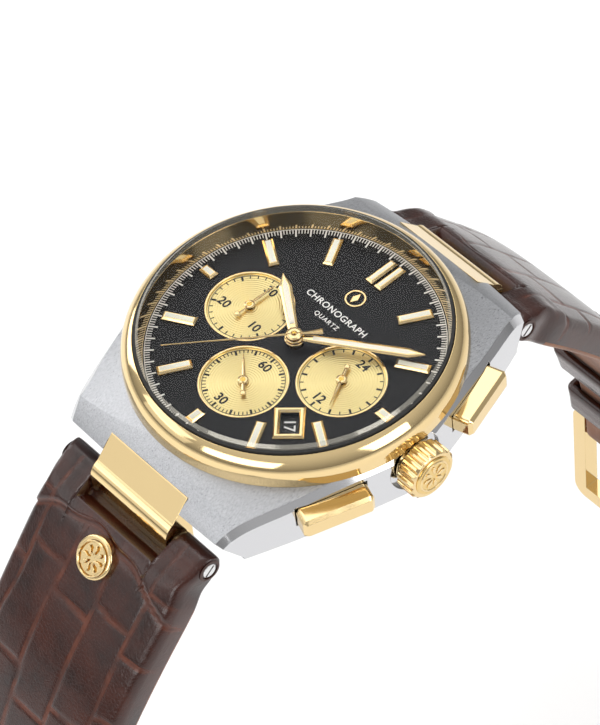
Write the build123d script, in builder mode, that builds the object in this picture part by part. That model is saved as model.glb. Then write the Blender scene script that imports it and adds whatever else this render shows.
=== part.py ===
from build123d import *
import math
import os

# Chronograph wristwatch, in millimetres. The origin is on the dial axis at the outer face of the
# case back; +Z goes up through the dial, +Y to 12 o'clock and +X to 3 o'clock and the crown.

os.makedirs("parts", exist_ok=True)

# ---------------------------------------------------------------- driving dimensions

# case
case_back_thickness = 0.8
dial_height = 8.5            # top of the dial above the case back
dial_thickness = 0.4
bezel_radius = 20.0
bezel_foot_drop = 0.9        # bezel foot below the dial top
bezel_rise = 2.85            # bezel top above the dial top
end_half_width = 13.0        # half width of the case at its ends
end_beyond_bezel = 3.9       # end edge beyond the bezel
waist_half_width = 20.7
flank_bulge = 0.45           # how far a flank bows out of its chord
end_edge_drop = 3.7          # end edge below the dial top
end_undercut = 2.9           # end face leans in by this much at the bottom
end_face_height = 3.7
end_facet_radius = 10.5      # roundness of the end facets, seen from the side
end_facet_crown = 122.0      # their roundness across the watch
shoulder_slope = 15.0        # degrees, scooped shoulders around the bezel
flank_chamfer = 0.8

# crystal and dial ring
bezel_inner_radius = 18.35
crystal_radius = 18.0
crystal_thickness = 1.35
crystal_seat_height = 2.4    # underside of the crystal above the dial
dial_opening_radius = 17.45
dial_radius = 17.95
gap = 0.05                   # fixed parts that sit inside each other

# sub-dials and markers
subdial_offset = 7.9
subdial_radius = 5.25
subdial_sink = 0.12
marker_width = 1.3
marker_height = 0.5
marker_outer = 16.1
long_marker_inner = 12.0
short_marker_inner = 14.1
window_radius = 11.7         # centre of the date window
window_length = 3.0
window_width = 2.1
window_rim = 0.75

# movement
case_bore_radius = 17.5
movement_radius = 14.6
main_plate_drop = 2.0        # top of the main plate below the dial top
main_plate_thickness = 0.45
bridge_drop = 2.4            # top of the bridge below the top of the main plate
bridge_thickness = 0.4
bridge_radius = 10.4
board_drop = 3.0             # top of the board below the top of the main plate
board_thickness = 0.3
arbor_radius = 0.3
arbor_clearance = 0.06
backlash = 0.72              # tooth thickness as a share of half the pitch

# hands
hour_hand_length = 10.0
minute_hand_length = 15.3
chrono_hand_length = 15.2
small_hand_length = 3.9
hour_hand_angle = 304.0      # clockwise from 12 o'clock
minute_hand_angle = 56.0
chrono_hand_angle = 219.0
seconds_hand_angle = 312.0
counter_hand_angle = 0.0
day_hand_angle = 152.0
hour_hand_height = 0.8       # above the dial
minute_hand_height = 1.25
chrono_hand_height = 1.7
small_hand_height = 0.35

# crown and pushers
crown_drop = 3.8             # crown axis below the dial top
crown_radius = 3.3
crown_length = 2.6
crown_pull = 1.5
flute_count = 18
flute_depth = 0.32
tube_bore_radius = 0.65
stem_radius = 0.6
pusher_length = 8.7
pusher_height = 2.7
pusher_top_drop = 2.4        # below the dial top
pusher_reach = 2.35
pusher_travel = 0.8
pusher_y = 10.7
pusher_stem_radius = 0.75

cap_back = 0.25              # the cap's inner face lies this far inside the flank
spring_radius = 1.2
spring_wire = 0.12

# lugs, bars and strap
lug_half_width = 6.6
lug_gap = 0.05
lug_screw_height = 3.1
lug_root_inset = 1.7         # lug root inside the end edge
bar_beyond_end = 0.4         # bar axis beyond the end edge
bar_height = 0.1
bar_radius = 0.9
bar_half_length = 12.0
strap_clearance = 0.08
strap_width = 24.3
strap_end_width = 20.0
strap_top = 3.55             # leather above the bar axis
roll_radius = 1.8            # leather roll around the bar
strap_thin = 1.25            # half thickness towards the tips
notch_radius = 3.7
short_half_length = 75.0
long_half_length = 115.0
strap_start_slope = 46.0     # degrees below horizontal at the bar
strap_curl = 0.30            # degrees per mm
strap_curl_growth = 0.0042   # degrees per mm squared
stud_radius = 2.65
stud_station = 6.6
hole_radius = 1.0
hole_count = 7
hole_pitch = 6.0
first_hole = 70.0

# buckle and keepers
buckle_half_width = 12.2
buckle_length = 15.5
buckle_wire = 2.2
buckle_bar_radius = 0.8
keeper_width = 5.0
keeper_thickness = 1.0
keeper_rise = 2.9            # free height over the short half
fixed_keeper_station = 66.0
free_keeper_station = 56.0

# ---------------------------------------------------------------- derived places

dial_top = dial_height
dial_bottom = dial_height - dial_thickness
case_bottom = case_back_thickness
bezel_foot = dial_height - bezel_foot_drop
case_top = bezel_foot - 0.02
bezel_top = dial_height + bezel_rise
crystal_bottom = dial_height + crystal_seat_height
end_edge = dial_height - end_edge_drop
end_foot = max(end_edge - end_face_height, case_bottom)
main_plate_top = dial_height - main_plate_drop
bridge_top = main_plate_top - bridge_drop
board_top = main_plate_top - board_drop
plate_bottom = main_plate_top - main_plate_thickness
crown_height = dial_height - crown_drop
pusher_top = dial_height - pusher_top_drop
pocket_depth = pusher_travel + cap_back + 0.25
spring_seat = pocket_depth + 1.0
end_half_length = bezel_radius + end_beyond_bezel
lug_root_y = end_half_length - lug_root_inset
bar_y = end_half_length + bar_beyond_end
chord = math.hypot(waist_half_width - end_half_width, end_half_length)
flank_normal = (end_half_length / chord, (waist_half_width - end_half_width) / chord)
flank_mid = (
    (waist_half_width + end_half_width) / 2 + flank_bulge * flank_normal[0],
    end_half_length / 2 + flank_bulge * flank_normal[1],
)


def polar(radius, clock_degrees):
    """A point on the dial, its angle read clockwise from 12 o'clock."""
    angle = math.radians(clock_degrees)
    return (radius * math.sin(angle), radius * math.cos(angle))


def finish(piece, name):
    """Label a finished piece and write it."""
    piece.part.label = name
    export_step(piece.part, f"parts/{name}.step")


def flank_x(y):
    """Half width of the case at a distance y from its middle."""
    along = (end_half_length - abs(y)) / end_half_length
    bow = 4 * flank_bulge * along * (1 - along) / flank_normal[0]
    return end_half_width + along * (waist_half_width - end_half_width) + bow


back_screw_radius = 0.45
back_screw_circle = case_bore_radius + 0.95
facet_reach = 7.8            # from the end facets' axis to the end edge
facet_axis_y = end_half_length - facet_reach
facet_axis_z = end_edge - math.sqrt(end_facet_radius**2 - facet_reach**2)
shoulder_inner = bezel_radius - 0.1
shoulder_outer = math.hypot(end_half_width, end_half_length) + 1
shoulder_fall = math.tan(math.radians(shoulder_slope))
shoulder_hollow = 0.12
waist_fillet = 9.0


def flank_edge(y):
    """Half width and height of the case's upper side edge at a distance y from its middle."""
    tangent_y = waist_fillet * (waist_half_width - end_half_width) / chord
    x = flank_x(y)
    if abs(y) < tangent_y:
        x = flank_x(tangent_y) + (tangent_y - abs(y)) * (tangent_y + abs(y)) / (2 * waist_fillet)
    radius = math.hypot(x, y)
    along = (radius - shoulder_inner) / (shoulder_outer - shoulder_inner)
    z = case_top - shoulder_fall * (radius - shoulder_inner) - 4 * shoulder_hollow * along * (1 - along)
    if abs(y) > facet_axis_y:
        facet = end_facet_radius - x**2 / (2 * end_facet_crown)
        z = min(z, facet_axis_z + math.sqrt(max(facet**2 - (abs(y) - facet_axis_y) ** 2, 0)))
    return x, min(z, case_top)


# stations along a flank, closer together at the waist and at the ends
chamfer_stations = [share * end_half_length for share in
                    (-1.0, -0.94, -0.87, -0.7, -0.5, -0.3, -0.1, 0.0, 0.1, 0.3, 0.5, 0.7, 0.87, 0.94, 1.0)]

# ---------------------------------------------------------------- case

with BuildPart() as case_middle:
    with BuildSketch(Plane.XY.offset(case_bottom)):
        with BuildLine():
            for sx in (1, -1):
                for sy in (1, -1):
                    ThreePointArc(
                        (sx * end_half_width, sy * end_half_length),
                        (sx * flank_mid[0], sy * flank_mid[1]),
                        (sx * waist_half_width, 0),
                    )
            for sy in (1, -1):
                Line((-end_half_width, sy * end_half_length), (end_half_width, sy * end_half_length))
        make_face()
    extrude(amount=case_top - case_bottom)
    fillet(case_middle.edges().filter_by(Axis.Z).group_by(Axis.X)[0], waist_fillet)
    fillet(case_middle.edges().filter_by(Axis.Z).group_by(Axis.X)[-1], waist_fillet)
    # end faces lean in towards the back
    with BuildSketch(Plane.YZ):
        with BuildLine():
            Polyline(
                (-end_half_length + end_undercut, end_foot),
                (-end_half_length, end_edge),
                (-end_half_length, case_top + 1),
                (end_half_length, case_top + 1),
                (end_half_length, end_edge),
                (end_half_length - end_undercut, end_foot),
                (end_half_length - end_undercut, case_bottom - 1),
                (-end_half_length + end_undercut, case_bottom - 1),
                close=True,
            )
        make_face()
    extrude(amount=waist_half_width + 1, both=True, mode=Mode.INTERSECT)
    # scooped shoulders fall away around the bezel
    with BuildSketch(Plane.XZ):
        middle = (shoulder_inner + shoulder_outer) / 2
        low = case_top - shoulder_fall * (shoulder_outer - shoulder_inner)
        with BuildLine():
            ThreePointArc((shoulder_inner, case_top), (middle, (case_top + low) / 2 - shoulder_hollow),
                          (shoulder_outer, low))
            Polyline((shoulder_outer, low), (shoulder_outer, case_top + 3), (shoulder_inner, case_top + 3),
                     (shoulder_inner, case_top))
        make_face()
    revolve(axis=Axis.Z, mode=Mode.SUBTRACT)
    # rounded end facets
    for sy in (1, -1):
        pivot = (0, sy * facet_axis_y, facet_axis_z)
        half = waist_half_width
        sag = half**2 / (2 * end_facet_crown)
        with BuildSketch(Plane(origin=pivot, x_dir=(1, 0, 0), z_dir=(0, -1, 0))):
            with BuildLine():
                ThreePointArc((-half, end_facet_radius - sag), (0, end_facet_radius), (half, end_facet_radius - sag))
                Polyline((half, end_facet_radius - sag), (half, end_facet_radius + 9),
                         (-half, end_facet_radius + 9), (-half, end_facet_radius - sag))
            make_face()
        revolve(axis=Axis(pivot, (-sy, 0, 0)), revolution_arc=100, mode=Mode.SUBTRACT)
    # polished chamfer along each flank's upper edge
    for sx in (1, -1):
        for y in chamfer_stations:
            x, z = flank_edge(y)
            with BuildSketch(Plane(origin=(0, y, 0), x_dir=(1, 0, 0), z_dir=(0, -1, 0))):
                with BuildLine():
                    Polyline((sx * (x - flank_chamfer), z), (sx * (x - flank_chamfer) + sx * 3, z + 3),
                             (sx * x + sx * 3, z - flank_chamfer + 3), (sx * x, z - flank_chamfer), close=True)
                make_face()
        loft(mode=Mode.SUBTRACT)
    # notches for the centre lugs
    with BuildSketch(Plane.XY.offset(case_bottom - 1)):
        for sy in (1, -1):
            with Locations((0, sy * (lug_root_y + 3))):
                Rectangle(2 * (lug_half_width + lug_gap), 6)
    extrude(amount=case_top, mode=Mode.SUBTRACT)
    # bore for the movement, seat of the bezel
    with BuildSketch(Plane.XY.offset(case_bottom)):
        Circle(case_bore_radius)
    extrude(amount=case_top, mode=Mode.SUBTRACT)
    with BuildSketch(Plane.XY.offset(case_top - 1.0)):
        Circle(bezel_inner_radius + 0.8)
    extrude(amount=2, mode=Mode.SUBTRACT)
    # recess under the crown
    with BuildSketch(Plane.YZ.offset(waist_half_width - 1.3)):
        with Locations((0, crown_height)):
            Circle(crown_radius + 0.4)
    extrude(amount=5, mode=Mode.SUBTRACT)
    with BuildSketch(Plane.YZ.offset(case_bore_radius - 3)):
        with Locations((0, crown_height)):
            Circle(tube_bore_radius + 0.6)
    extrude(amount=8, mode=Mode.SUBTRACT)
    # pockets and bores for the pushers
    for sy in (1, -1):
        foot = Vector(flank_x(pusher_y), sy * pusher_y, pusher_top - pusher_height / 2)
        out = Vector(flank_normal[0], sy * flank_normal[1], 0)
        face = Plane(origin=foot, x_dir=(0, 0, 1), z_dir=out)
        with BuildSketch(face.offset(-pocket_depth)):
            Rectangle(pusher_height + 0.2, pusher_length + 0.2)
        extrude(amount=4, mode=Mode.SUBTRACT)
        with BuildSketch(face.offset(-6)):
            Circle(pusher_stem_radius + 0.45)
        extrude(amount=8, mode=Mode.SUBTRACT)
        with BuildSketch(face.offset(-spring_seat)):
            Circle(spring_radius + spring_wire + 0.1)
        extrude(amount=3, mode=Mode.SUBTRACT)
    # threaded holes for the case-back screws
    with BuildSketch(Plane.XY.offset(case_bottom)):
        with PolarLocations(back_screw_circle, 6, 30):
            Circle(back_screw_radius + 0.03)
    extrude(amount=2.2, mode=Mode.SUBTRACT)
    # screw holes for the lugs
    for sx in (1, -1):
        for sy in (1, -1):
            with BuildSketch(Plane(origin=(sx * lug_half_width * 0.6, sy * (lug_root_y + 1), lug_screw_height),
                                   x_dir=(1, 0, 0), z_dir=(0, -sy, 0))):
                Circle(0.55)
            extrude(amount=9, mode=Mode.SUBTRACT)
finish(case_middle, "case_middle")


# ---------------------------------------------------------------- bezel, crystal and case back

with BuildPart() as bezel:
    with BuildSketch(Plane.XZ):
        with BuildLine():
            Polyline((bezel_radius, bezel_foot + 0.9), (bezel_radius, bezel_foot),
                     (bezel_inner_radius + 0.75, bezel_foot), (bezel_inner_radius + 0.75, bezel_foot - 0.95),
                     (bezel_inner_radius, bezel_foot - 0.95), (bezel_inner_radius, bezel_top - 0.1),
                     (bezel_inner_radius + 0.15, bezel_top))
            ThreePointArc((bezel_radius, bezel_foot + 0.9), (bezel_radius - 0.45, bezel_top - 0.95),
                          (bezel_inner_radius + 0.15, bezel_top))
        make_face()
    revolve(axis=Axis.Z)
finish(bezel, "bezel")

with BuildPart() as crystal:
    with BuildSketch(Plane.XY.offset(crystal_bottom)):
        Circle(crystal_radius)
    extrude(amount=crystal_thickness)
    chamfer(crystal.edges().group_by(Axis.Z)[-1], 0.35)
finish(crystal, "crystal")

with BuildPart() as crystal_gasket:
    with BuildSketch(Plane.XY.offset(crystal_bottom)):
        Circle(bezel_inner_radius - 0.02)
        Circle(crystal_radius + 0.02, mode=Mode.SUBTRACT)
    extrude(amount=crystal_thickness - 0.6)
finish(crystal_gasket, "crystal_gasket")

with BuildPart() as flange_ring:
    with BuildSketch(Plane.XZ):
        with BuildLine():
            Polyline((dial_opening_radius, dial_top + 0.02), (bezel_inner_radius - gap, dial_top + 0.02),
                     (bezel_inner_radius - gap, crystal_bottom - 0.02), (crystal_radius, crystal_bottom - 0.02),
                     close=True)
        make_face()
    revolve(axis=Axis.Z)
finish(flange_ring, "flange_ring")

back_radius = bezel_radius - 0.7
back_spigot = case_bore_radius - 0.5
back_screw_spots = PolarLocations(back_screw_circle, 6, 30)

with BuildPart() as case_back:
    with BuildSketch():
        Circle(back_radius)
    extrude(amount=case_back_thickness - 0.02)
    chamfer(case_back.edges().group_by(Axis.Z)[0], 0.3)
    with BuildSketch(Plane.XY.offset(case_back_thickness - 0.02)):
        Circle(back_spigot)
        Circle(back_spigot - 0.7, mode=Mode.SUBTRACT)
    extrude(amount=0.8)
    with BuildSketch():
        with back_screw_spots:
            Circle(0.58)
    extrude(amount=case_back_thickness, mode=Mode.SUBTRACT)
    with BuildSketch():
        with back_screw_spots:
            Circle(0.95)
    extrude(amount=0.45, mode=Mode.SUBTRACT)
finish(case_back, "case_back")

with BuildPart() as case_back_gasket:
    with BuildSketch(Plane.XY.offset(case_back_thickness + 0.03)):
        Circle(case_bore_radius - 0.03)
        Circle(back_spigot + 0.02, mode=Mode.SUBTRACT)
    extrude(amount=0.5)
finish(case_back_gasket, "case_back_gasket")

with BuildPart() as case_back_screws:
    with BuildSketch(Plane.XY.offset(0.06)):
        with back_screw_spots:
            Circle(0.9)
    extrude(amount=0.37)
    with BuildSketch(Plane.XY.offset(0.43)):
        with back_screw_spots:
            Circle(back_screw_radius)
    extrude(amount=2.2)
    with BuildSketch(Plane.XY.offset(0.06)):
        with back_screw_spots:
            Rectangle(2, 0.22)
    extrude(amount=0.16, mode=Mode.SUBTRACT)
finish(case_back_screws, "case_back_screws")

# ---------------------------------------------------------------- dial

hour_angles = [30 * hour for hour in range(12)]


def marker_bars():
    """Each applied bar as (clock angle, sideways offset, inner radius, width)."""
    bars = []
    for angle in hour_angles:
        inner = short_marker_inner if angle in (90, 180, 270) else long_marker_inner
        if angle == 0:
            bars += [(angle, side * 0.72, inner, 1.1) for side in (-1, 1)]
        else:
            bars.append((angle, 0.0, inner, marker_width))
    return bars


def bar_plane(angle, offset, radius, height):
    """A plane at a place on the dial, its own Y pointing outwards."""
    x, y = polar(radius, angle)
    turn = math.radians(angle)
    along = (math.cos(turn), -math.sin(turn), 0)
    return Plane(origin=(x + offset * along[0], y + offset * along[1], height), x_dir=along, z_dir=(0, 0, 1))


window_plane_angle = 135

with BuildPart() as dial:
    with BuildSketch(Plane.XY.offset(dial_bottom)):
        Circle(dial_radius)
        Circle(0.95, mode=Mode.SUBTRACT)
        with Locations((subdial_offset, 0), (0, -subdial_offset), (-subdial_offset, 0)):
            Circle(subdial_radius + 0.02, mode=Mode.SUBTRACT)
    extrude(amount=dial_thickness)
    with BuildSketch(bar_plane(window_plane_angle, 0, window_radius, dial_bottom)):
        Rectangle(window_width, window_length)
    extrude(amount=dial_thickness, mode=Mode.SUBTRACT)
finish(dial, "dial")

with BuildPart() as subdial_plates:
    with BuildSketch(Plane.XY.offset(dial_bottom)):
        with Locations((subdial_offset, 0), (0, -subdial_offset), (-subdial_offset, 0)):
            Circle(subdial_radius)
            Circle(0.45, mode=Mode.SUBTRACT)
    extrude(amount=dial_thickness - subdial_sink)
finish(subdial_plates, "subdial_plates")

with BuildPart() as hour_markers:
    for angle, offset, inner, width in marker_bars():
        with BuildSketch(bar_plane(angle, offset, (inner + marker_outer) / 2, dial_top)):
            Rectangle(width, marker_outer - inner)
        extrude(amount=marker_height)
    chamfer(hour_markers.edges().group_by(Axis.Z)[-1], 0.22)
finish(hour_markers, "hour_markers")

with BuildPart() as marker_lume:
    for angle, offset, inner, width in marker_bars():
        with BuildSketch(bar_plane(angle, offset, (inner + marker_outer) / 2, dial_top + marker_height)):
            Rectangle(width - 0.7, marker_outer - inner - 0.7)
        extrude(amount=0.03)
finish(marker_lume, "marker_lume")

with BuildPart() as date_frame:
    with BuildSketch(bar_plane(window_plane_angle, 0, window_radius, dial_top)):
        Rectangle(window_width + 2 * window_rim, window_length + 2 * window_rim)
        Rectangle(window_width, window_length, mode=Mode.SUBTRACT)
    extrude(amount=0.4)
    chamfer(date_frame.edges().group_by(Axis.Z)[-1], 0.25)
finish(date_frame, "date_frame")

# ---------------------------------------------------------------- movement layout

centre = (0.0, 0.0)
seconds_axis = (0.0, -subdial_offset)
counter_axis = (-subdial_offset, 0.0)
day_axis = (subdial_offset, 0.0)

# gears: teeth and modules
third_module = 0.12
motion_distance = 3.0
cannon_teeth, minute_teeth, minute_pinion_teeth, hour_teeth = 12, 36, 10, 40
cannon_module = 2 * motion_distance / (cannon_teeth + minute_teeth)
hour_module = 2 * motion_distance / (minute_pinion_teeth + hour_teeth)
idler_teeth, day_teeth = 20, 80
seconds_teeth, third_teeth, third_pinion_teeth, centre_teeth = 8, 60, 8, 64
chrono_teeth, middle_teeth, middle_pinion_teeth, counter_teeth = 8, 48, 8, 40
chrono_module = 0.155
counter_module = 0.178


def spacing(module, teeth_a, teeth_b):
    """Distance between two meshed gears."""
    return module * (teeth_a + teeth_b) / 2


def third_point(a, b, from_a, from_b, side):
    """The point at given distances from two others, on one side of their line."""
    dx, dy = b[0] - a[0], b[1] - a[1]
    span = math.hypot(dx, dy)
    along = (span**2 + from_a**2 - from_b**2) / (2 * span)
    off = side * math.sqrt(max(from_a**2 - along**2, 0))
    return (a[0] + (along * dx - off * dy) / span, a[1] + (along * dy + off * dx) / span)


third_axis = third_point(centre, seconds_axis, spacing(third_module, third_pinion_teeth, centre_teeth),
                         spacing(third_module, seconds_teeth, third_teeth), 1)
minute_axis = (-motion_distance * math.cos(math.radians(30)), motion_distance * math.sin(math.radians(30)))
idler_axis = third_point(centre, day_axis, spacing(hour_module, hour_teeth, idler_teeth),
                         spacing(hour_module, idler_teeth, day_teeth), 1)
middle_axis = third_point(centre, counter_axis, spacing(chrono_module, chrono_teeth, middle_teeth),
                          spacing(counter_module, middle_pinion_teeth, counter_teeth), -1)
rotor_axis = (-3.2, -7.6)


def mesh_phase(a, teeth_a, phase_a, b, teeth_b):
    """Tooth phase of gear b, in degrees, that puts it in mesh with gear a."""
    line = math.degrees(math.atan2(b[1] - a[1], b[0] - a[0]))
    pitch_a, pitch_b = 360 / teeth_a, 360 / teeth_b
    share = ((line - phase_a) / pitch_a) % 1
    return line + 180 + (share + 0.5) * pitch_b


def gear_face(teeth, module, phase, place, addendum=0.75):
    """Draw a gear's outline in the current sketch."""
    root = module * (teeth / 2 - 1.05)
    tip = module * (teeth / 2 + addendum)
    half = 90 / teeth * backlash
    points = []
    for tooth in range(teeth):
        mid = phase + tooth * 360 / teeth
        for radius, turn in ((root, -1.35), (tip, -0.55), (tip, 0.55), (root, 1.35)):
            angle = math.radians(mid + turn * half)
            points.append((place[0] + radius * math.cos(angle), place[1] + radius * math.sin(angle)))
    with BuildLine() as outline:
        Polyline(*points, close=True)
    make_face(outline.edges())


def disc(place, radius, bottom, top, hole=0.0):
    """Add a round boss, arbor or tube to the current part."""
    with BuildSketch(Plane.XY.offset(bottom)) as outline:
        with Locations(place):
            Circle(radius)
            if hole:
                Circle(hole, mode=Mode.SUBTRACT)
    extrude(outline.sketch, amount=top - bottom)


def gear(teeth, module, phase, place, bottom, top, hole=0.0, addendum=0.75):
    """Add a gear to the current part."""
    with BuildSketch(Plane.XY.offset(bottom)) as outline:
        gear_face(teeth, module, phase, place, addendum)
        if hole:
            with Locations(place):
                Circle(hole, mode=Mode.SUBTRACT)
    extrude(outline.sketch, amount=top - bottom)


seconds_phase = 0.0
third_phase = mesh_phase(seconds_axis, seconds_teeth, seconds_phase, third_axis, third_teeth)
third_pinion_phase = 10.0
centre_phase = mesh_phase(third_axis, third_pinion_teeth, third_pinion_phase, centre, centre_teeth)
cannon_phase = 0.0
minute_phase = mesh_phase(centre, cannon_teeth, cannon_phase, minute_axis, minute_teeth)
minute_pinion_phase = 0.0
hour_phase = mesh_phase(minute_axis, minute_pinion_teeth, minute_pinion_phase, centre, hour_teeth)
idler_phase = mesh_phase(centre, hour_teeth, hour_phase, idler_axis, idler_teeth)
day_phase = mesh_phase(idler_axis, idler_teeth, idler_phase, day_axis, day_teeth)
chrono_phase = 0.0
middle_phase = mesh_phase(centre, chrono_teeth, chrono_phase, middle_axis, middle_teeth)
middle_pinion_phase = 0.0
counter_phase = mesh_phase(middle_axis, middle_pinion_teeth, middle_pinion_phase, counter_axis, counter_teeth)

# heights of the wheels
chrono_level = bridge_top + 0.3
counter_level = chrono_level + 0.5
third_level = bridge_top + 1.1
centre_level = third_level + 0.42
wheel_thickness = 0.2
motion_level = main_plate_top + 0.22
hour_level = motion_level + 0.42
tube_outer = 0.75            # hour wheel tube
tube_inner = 0.5
cannon_outer = 0.44
cannon_inner = 0.26
chrono_arbor_radius = 0.2
pivot_bottom = bridge_top - bridge_thickness + 0.1

# ---------------------------------------------------------------- movement plates

with BuildPart() as main_plate:
    disc(centre, movement_radius, plate_bottom, main_plate_top)
    with BuildSketch(Plane.XY.offset(main_plate_top)):
        Circle(movement_radius)
        Circle(movement_radius - 0.6, mode=Mode.SUBTRACT)
    extrude(amount=dial_bottom - main_plate_top - 0.02)
    # posts that carry the minute wheel and the idler
    for place in (minute_axis, idler_axis):
        disc(place, arbor_radius, main_plate_top, hour_level + wheel_thickness + 0.15)
    with BuildSketch(Plane.XY.offset(plate_bottom)):
        Circle(cannon_outer + arbor_clearance)
        with Locations(seconds_axis, counter_axis, day_axis, third_axis, middle_axis, rotor_axis):
            Circle(arbor_radius + arbor_clearance)
    extrude(amount=main_plate_thickness, mode=Mode.SUBTRACT)
finish(main_plate, "main_plate")

with BuildPart() as train_bridge:
    disc(centre, bridge_radius, bridge_top - bridge_thickness, bridge_top)
    for clock in (50, 142, 226, 322):
        disc(polar(bridge_radius - 1.1, clock), 0.5, bridge_top, plate_bottom - 0.02)
    with BuildSketch(Plane.XY.offset(bridge_top - bridge_thickness)):
        Circle(chrono_arbor_radius + arbor_clearance)
        with Locations(seconds_axis, counter_axis, third_axis, middle_axis, rotor_axis):
            Circle(arbor_radius + arbor_clearance)
    extrude(amount=bridge_thickness, mode=Mode.SUBTRACT)
finish(train_bridge, "train_bridge")

with BuildPart() as movement_holder:
    disc(centre, case_bore_radius - gap, plate_bottom, dial_bottom - 0.02, movement_radius + gap)
finish(movement_holder, "movement_holder")

board_bottom = board_top - board_thickness

with BuildPart() as circuit_board:
    disc(centre, movement_radius - 0.8, board_bottom, board_top)
    # chip and quartz can under the board
    with BuildSketch(Plane.XY.offset(board_bottom - 0.6)):
        with Locations((-5.5, 3.0)):
            Rectangle(3.2, 3.2)
    extrude(amount=0.6)
    with BuildSketch(Plane.YZ.offset(-9.5)):
        with Locations((8.0, board_bottom - 0.7)):
            Circle(0.72)
    extrude(amount=5.0)
    for clock in (50, 142, 226, 322):
        disc(polar(bridge_radius - 1.1, clock), 0.6, board_top, bridge_top - bridge_thickness - 0.02)
finish(circuit_board, "circuit_board")

with BuildPart() as battery:
    disc((4.2, 6.2), 4.75, case_back_thickness + 0.25, board_bottom - 0.05)
    chamfer(battery.edges().group_by(Axis.Z)[0], 0.3)
finish(battery, "battery")

with BuildPart() as coil:
    with BuildSketch(Plane.YZ.offset(-4.0)):
        with Locations((-7.0, board_bottom - 1.0)):
            Circle(0.95)
    extrude(amount=8.0)
    for x in (-4.4, 4.0):
        with BuildSketch(Plane.YZ.offset(x)):
            with Locations((-7.0, board_bottom - 1.0)):
                Rectangle(2.2, 1.96)
        extrude(amount=0.4)
finish(coil, "coil")

# ---------------------------------------------------------------- wheels

with BuildPart() as seconds_pinion:
    disc(seconds_axis, arbor_radius, pivot_bottom, dial_top + small_hand_height + 0.12)
    gear(seconds_teeth, third_module, seconds_phase, seconds_axis, third_level - 0.1, third_level + 0.3)
finish(seconds_pinion, "seconds_pinion")

with BuildPart() as third_wheel:
    disc(third_axis, arbor_radius, pivot_bottom, main_plate_top - 0.05)
    gear(third_teeth, third_module, third_phase, third_axis, third_level, third_level + wheel_thickness)
    gear(third_pinion_teeth, third_module, third_pinion_phase, third_axis, third_level + wheel_thickness,
         centre_level + wheel_thickness + 0.08)
finish(third_wheel, "third_wheel")

with BuildPart() as centre_wheel:
    disc(centre, cannon_outer, centre_level - 0.15, dial_top + minute_hand_height + 0.3, cannon_inner)
    gear(centre_teeth, third_module, centre_phase, centre, centre_level, centre_level + wheel_thickness,
         cannon_inner)
    gear(cannon_teeth, cannon_module, cannon_phase, centre, motion_level - 0.1,
         motion_level + wheel_thickness + 0.05, cannon_inner)
finish(centre_wheel, "centre_wheel")

with BuildPart() as minute_wheel:
    post_bore = arbor_radius + arbor_clearance
    gear(minute_teeth, cannon_module, minute_phase, minute_axis, motion_level,
         motion_level + wheel_thickness, post_bore)
    gear(minute_pinion_teeth, hour_module, minute_pinion_phase, minute_axis, motion_level + wheel_thickness,
         hour_level + wheel_thickness + 0.08, post_bore)
finish(minute_wheel, "minute_wheel")

with BuildPart() as hour_wheel:
    disc(centre, tube_outer, hour_level - 0.05, dial_top + hour_hand_height + 0.22, tube_inner)
    gear(hour_teeth, hour_module, hour_phase, centre, hour_level, hour_level + wheel_thickness, tube_inner)
finish(hour_wheel, "hour_wheel")

with BuildPart() as idler_wheel:
    gear(idler_teeth, hour_module, idler_phase, idler_axis, hour_level - 0.05,
         hour_level + wheel_thickness + 0.05, arbor_radius + arbor_clearance)
finish(idler_wheel, "idler_wheel")

with BuildPart() as day_wheel:
    disc(day_axis, arbor_radius, plate_bottom + 0.05, dial_top + small_hand_height + 0.12)
    gear(day_teeth, hour_module, day_phase, day_axis, hour_level, hour_level + wheel_thickness)
finish(day_wheel, "day_wheel")

with BuildPart() as chrono_pinion:
    disc(centre, chrono_arbor_radius, pivot_bottom, dial_top + chrono_hand_height + 0.3)
    gear(chrono_teeth, chrono_module, chrono_phase, centre, chrono_level - 0.1, chrono_level + 0.3)
finish(chrono_pinion, "chrono_pinion")

with BuildPart() as chrono_wheel:
    disc(middle_axis, arbor_radius, pivot_bottom, main_plate_top - 0.05)
    gear(middle_teeth, chrono_module, middle_phase, middle_axis, chrono_level, chrono_level + wheel_thickness)
    gear(middle_pinion_teeth, counter_module, middle_pinion_phase, middle_axis,
         chrono_level + wheel_thickness, counter_level + wheel_thickness + 0.08)
finish(chrono_wheel, "chrono_wheel")

with BuildPart() as counter_wheel:
    disc(counter_axis, arbor_radius, pivot_bottom, dial_top + small_hand_height + 0.12)
    gear(counter_teeth, counter_module, counter_phase, counter_axis, counter_level,
         counter_level + wheel_thickness)
finish(counter_wheel, "counter_wheel")

with BuildPart() as rotor:
    disc(rotor_axis, arbor_radius, pivot_bottom, main_plate_top - 0.05)
    disc(rotor_axis, 0.85, bridge_top + 0.4, plate_bottom - 0.5)
finish(rotor, "rotor")

date_top = dial_bottom - 0.12
with BuildPart() as date_disc:
    disc(centre, movement_radius - 0.7, date_top - 0.16, date_top, 9.5)
finish(date_disc, "date_disc")

# ---------------------------------------------------------------- hands


def hand_plane(angle, place, height):
    """A plane at a hand's axis, its own Y along the hand."""
    turn = math.radians(angle)
    return Plane(origin=(place[0], place[1], height), x_dir=(math.cos(turn), -math.sin(turn), 0),
                 z_dir=(0, 0, 1))


def baton(angle, length, width, boss, bore, height, thickness):
    """Add a baton hand with a pointed tip to the current part."""
    with BuildSketch(hand_plane(angle, centre, height)) as outline:
        Circle(boss)
        with BuildLine() as blade:
            Polyline((-width * 0.28, 0), (-width / 2, length - 1.9), (0, length), (width / 2, length - 1.9),
                     (width * 0.28, 0), close=True)
        make_face(blade.edges())
        Circle(bore, mode=Mode.SUBTRACT)
    extrude(outline.sketch, amount=thickness)


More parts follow.
